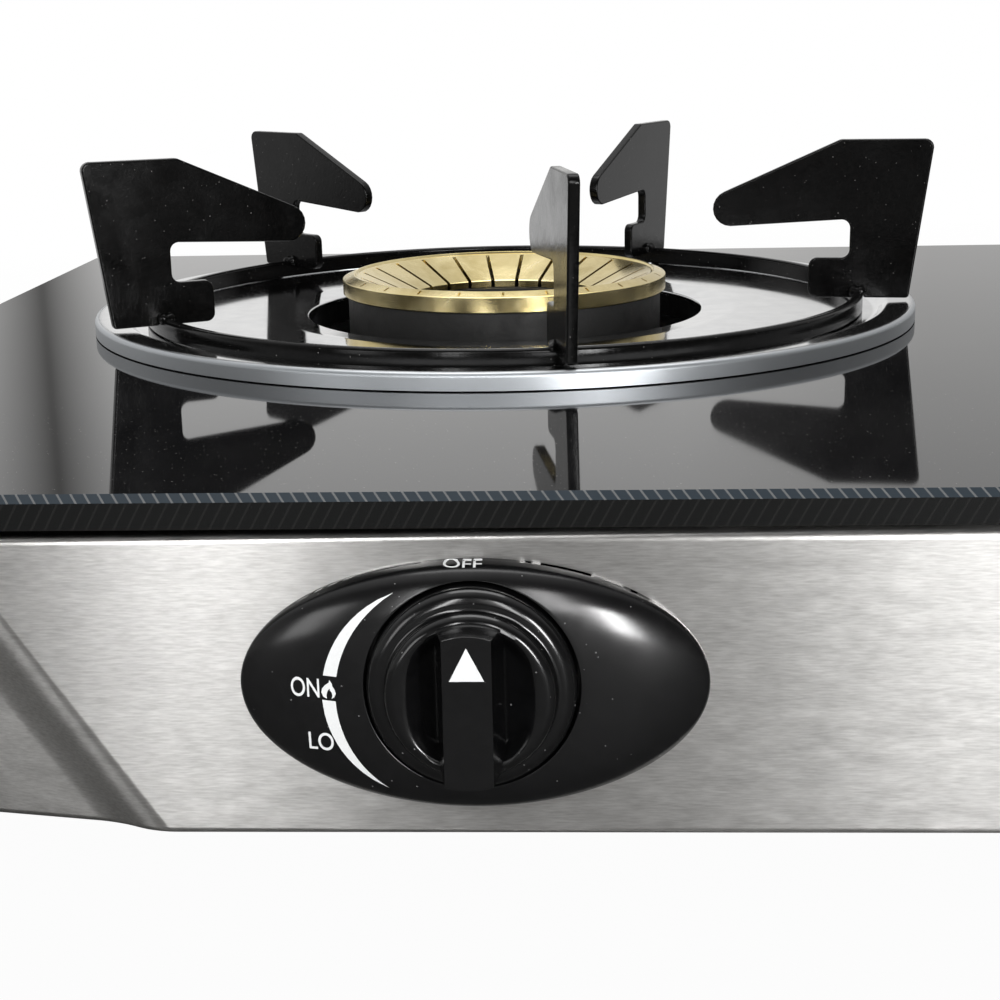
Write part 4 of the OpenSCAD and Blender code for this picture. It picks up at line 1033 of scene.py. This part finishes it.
FLAME = [(-0.35, -1.95), (-1.1, -1.6), (-1.45, -0.7), (-1.3, 0.1), (-0.7, 0.8), (0.1, 1.4), (0.25, 1.95),
         (0.75, 1.2), (0.8, 0.7), (1.2, 0.1), (1.45, -0.8), (1.1, -1.6), (0.55, -1.95), (0.75, -1.3),
         (0.65, -0.7), (0.3, -0.2), (0.25, 0.2), (-0.15, -0.3), (-0.35, -0.9), (-0.45, -1.4)]


def bezel_print(side):
    marks = [printed(flat_shape("scale above", heat_scale(2.9, 20.35)), 2),
             printed(flat_shape("scale below", heat_scale(-20.35, -2.2)), 2),
             printed(lettering("ON", (-32.9, -0.5), 5.8, 4.0), 2),
             printed(lettering("LO", (-30.2, -11.9), 5.1, 3.9), 2),
             printed(lettering("OFF", (-1.6, 23.55), 7.6, 0.8), 6),
             printed(moved(flat_shape("flame", FLAME), shifted(-28.15, -0.6, 0)), 2)]
    obj = joined(marks, side + "_bezel_print")
    set_down(obj, on_control(side), 0)
    return fit(obj, "chassis", "bezel_plastic", PRINT)


for side in SIDES:
    bezel(side)
    bezel_print(side)


# Ignition leads, from each igniter along the tray floor to the burner

LEAD_R = 1.8
LEAD_START = Vector((-180, -177, 11))
LEAD_ROUTE = ((22, 52, 34.3), (22, 58, 34.3), (22.5, 66, 32.3), (23.5, 76, 24.3), (24, 86, 15.3),
              (24, 96, 8.8), (24, 108, 6.2), (24, 140, 6), (24, 180, 6), (23.5, 196, 6), (20, 208, 6),
              (13, 216, 6), (5, 219.2, 6.3), (-0.2, 219.5, 7.8), (-2, 219.5, 10.4), (-2, 219.5, 13))


def ignition_lead(side):
    way = 1 if side == "left" else -1
    stops = [(Vector(p) + LEAD_START) * MM for p in LEAD_ROUTE]
    line = bpy.data.curves.new(side + "_lead", "CURVE")
    line.dimensions = "3D"
    line.bevel_depth = LEAD_R * MM
    line.bevel_resolution = 4
    line.resolution_u = 8
    line.use_fill_caps = True
    spline = line.splines.new("BEZIER")
    spline.bezier_points.add(len(stops) - 1)
    for point, stop in zip(spline.bezier_points, stops):
        point.co = (way * stop.x, stop.y, stop.z)
        point.handle_left_type = point.handle_right_type = "AUTO"
    obj = bpy.data.objects.new(side + "_lead", line)
    bpy.context.scene.collection.objects.link(obj)
    bpy.context.view_layer.update()
    fit(obj, "chassis", "lead_sleeve", FINISH["lead_sleeve"], side + "_ignition_lead")


# Stem springs, wound wire that is pressed together when the knob is pushed

SPRING_R, SPRING_WIRE, SPRING_TURNS, SPRING_LEFT = 5.65, 0.5, 6, 0.727


def stem_spring(side):
    low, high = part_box(side + "_stem_spring")
    length = (high.y - low.y) / MM - 2 * SPRING_WIRE
    deselect()
    bpy.ops.mesh.primitive_circle_add(vertices=12, radius=SPRING_WIRE)
    obj = bpy.context.object
    obj.name = side + "_spring_wire"
    moved(obj, shifted(SPRING_R, 0, 0) @ about("X", 90))
    take(obj)
    mod = obj.modifiers.new("winding", "SCREW")
    mod.axis = "Z"
    mod.angle = 2 * math.pi
    mod.screw_offset = length / SPRING_TURNS
    mod.iterations = SPRING_TURNS
    mod.steps = mod.render_steps = 40
    mod.use_merge_vertices = True
    bpy.ops.object.modifier_apply(modifier=mod.name)
    work_on(obj)
    bpy.ops.mesh.remove_doubles(threshold=MERGE_GAP)
    bpy.ops.mesh.fill_holes(sides=0)
    bpy.ops.mesh.select_all(action="SELECT")
    bpy.ops.mesh.normals_make_consistent(inside=False)
    foot = -(high.y - CONTROL[side].y) / MM + SPRING_WIRE
    moved(obj, shifted(0, 0, foot))
    set_down(obj, on_control(side), 50)
    fit(obj, side + "_plug", "zinc_steel", FINISH["zinc_steel"], side + "_stem_spring")
    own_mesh(obj)


for side in SIDES:
    ignition_lead(side)
    stem_spring(side)


# Front panel

PANEL_T, PANEL_DEPTH, SWEEP = 1.0, 26.0, math.tan(math.radians(14))
CREASE_TOP, CREASE_FOOT, STEP_W, STEP_SWEEP = 288.5, 246.0, 8.0, math.tan(math.radians(30))
CREASE_SOFT, BEND_R, PANEL_HOLE_R = 3.2, 1.8, 9.3


def front_panel():
    low, high = panel_low / MM, panel_high / MM
    deselect()
    bpy.ops.mesh.primitive_plane_add(size=1)
    obj = bpy.context.object
    obj.name = "panel_sheet"
    upright = shifted(0, low.y, (low.z + high.z) / 2) @ about("X", 90)
    moved(obj, upright @ Matrix.Diagonal((high.x - low.x, high.z - low.z, 1, 1)))
    run, rise = CREASE_TOP - CREASE_FOOT, high.z - low.z
    square = math.hypot(run, rise)

    def past_crease(p):
        """Distance beyond the crease, square to it."""
        return ((abs(p.x) - CREASE_FOOT) * rise - (p.z - low.z) * run) / square

    for face in (-1, 1):
        for offset in (0, STEP_W):
            work_on(obj, "FACE")
            foot = CREASE_FOOT + offset * square / rise
            bpy.ops.mesh.bisect(plane_co=(face * foot, low.y, low.z),
                                plane_no=(face * rise / square, 0, -run / square))
    bpy.ops.object.mode_set(mode="OBJECT")
    step_drop = STEP_W * STEP_SWEEP
    full = max(past_crease(v.co) for v in obj.data.vertices)
    facet_sweep = (full * SWEEP - step_drop) / (full - STEP_W)
    for v in obj.data.vertices:
        beyond = max(0, past_crease(v.co))
        v.co.y += min(beyond, STEP_W) * STEP_SWEEP + max(0, beyond - STEP_W) * facet_sweep
    pick(obj, lambda p: abs(past_crease(p)) < 0.1 or abs(past_crease(p) - STEP_W) < 0.1, "EDGE")
    bpy.ops.mesh.bevel(offset=CREASE_SOFT, segments=5, affect="EDGES")
    work_on(obj, "EDGE")
    bpy.ops.mesh.region_to_loop()
    bpy.ops.mesh.extrude_region_move(TRANSFORM_OT_translate={"value": (0, PANEL_DEPTH, 0)})
    bpy.ops.transform.resize(value=(1, 0, 1), center_override=(0, low.y + PANEL_DEPTH, 0))
    bpy.ops.mesh.select_all(action="SELECT")
    bpy.ops.mesh.normals_make_consistent(inside=False)
    rounded_edges(obj, BEND_R, 5, 55)
    take(obj)
    mod = obj.modifiers.new("sheet", "SOLIDIFY")
    mod.thickness = PANEL_T
    mod.offset = -1
    bpy.ops.object.modifier_apply(modifier=mod.name)
    for side in SIDES:
        deselect()
        bpy.ops.mesh.primitive_cylinder_add(vertices=64, radius=PANEL_HOLE_R, depth=20)
        cut(obj, moved(bpy.context.object, shifted(*(CONTROL[side] / MM)) @ about("X", 90)))
    set_down(obj, Matrix.Identity(4), 30)
    return fit(obj, "chassis", "brushed_panel", FINISH["brushed_panel"], "front_panel")


front_panel()
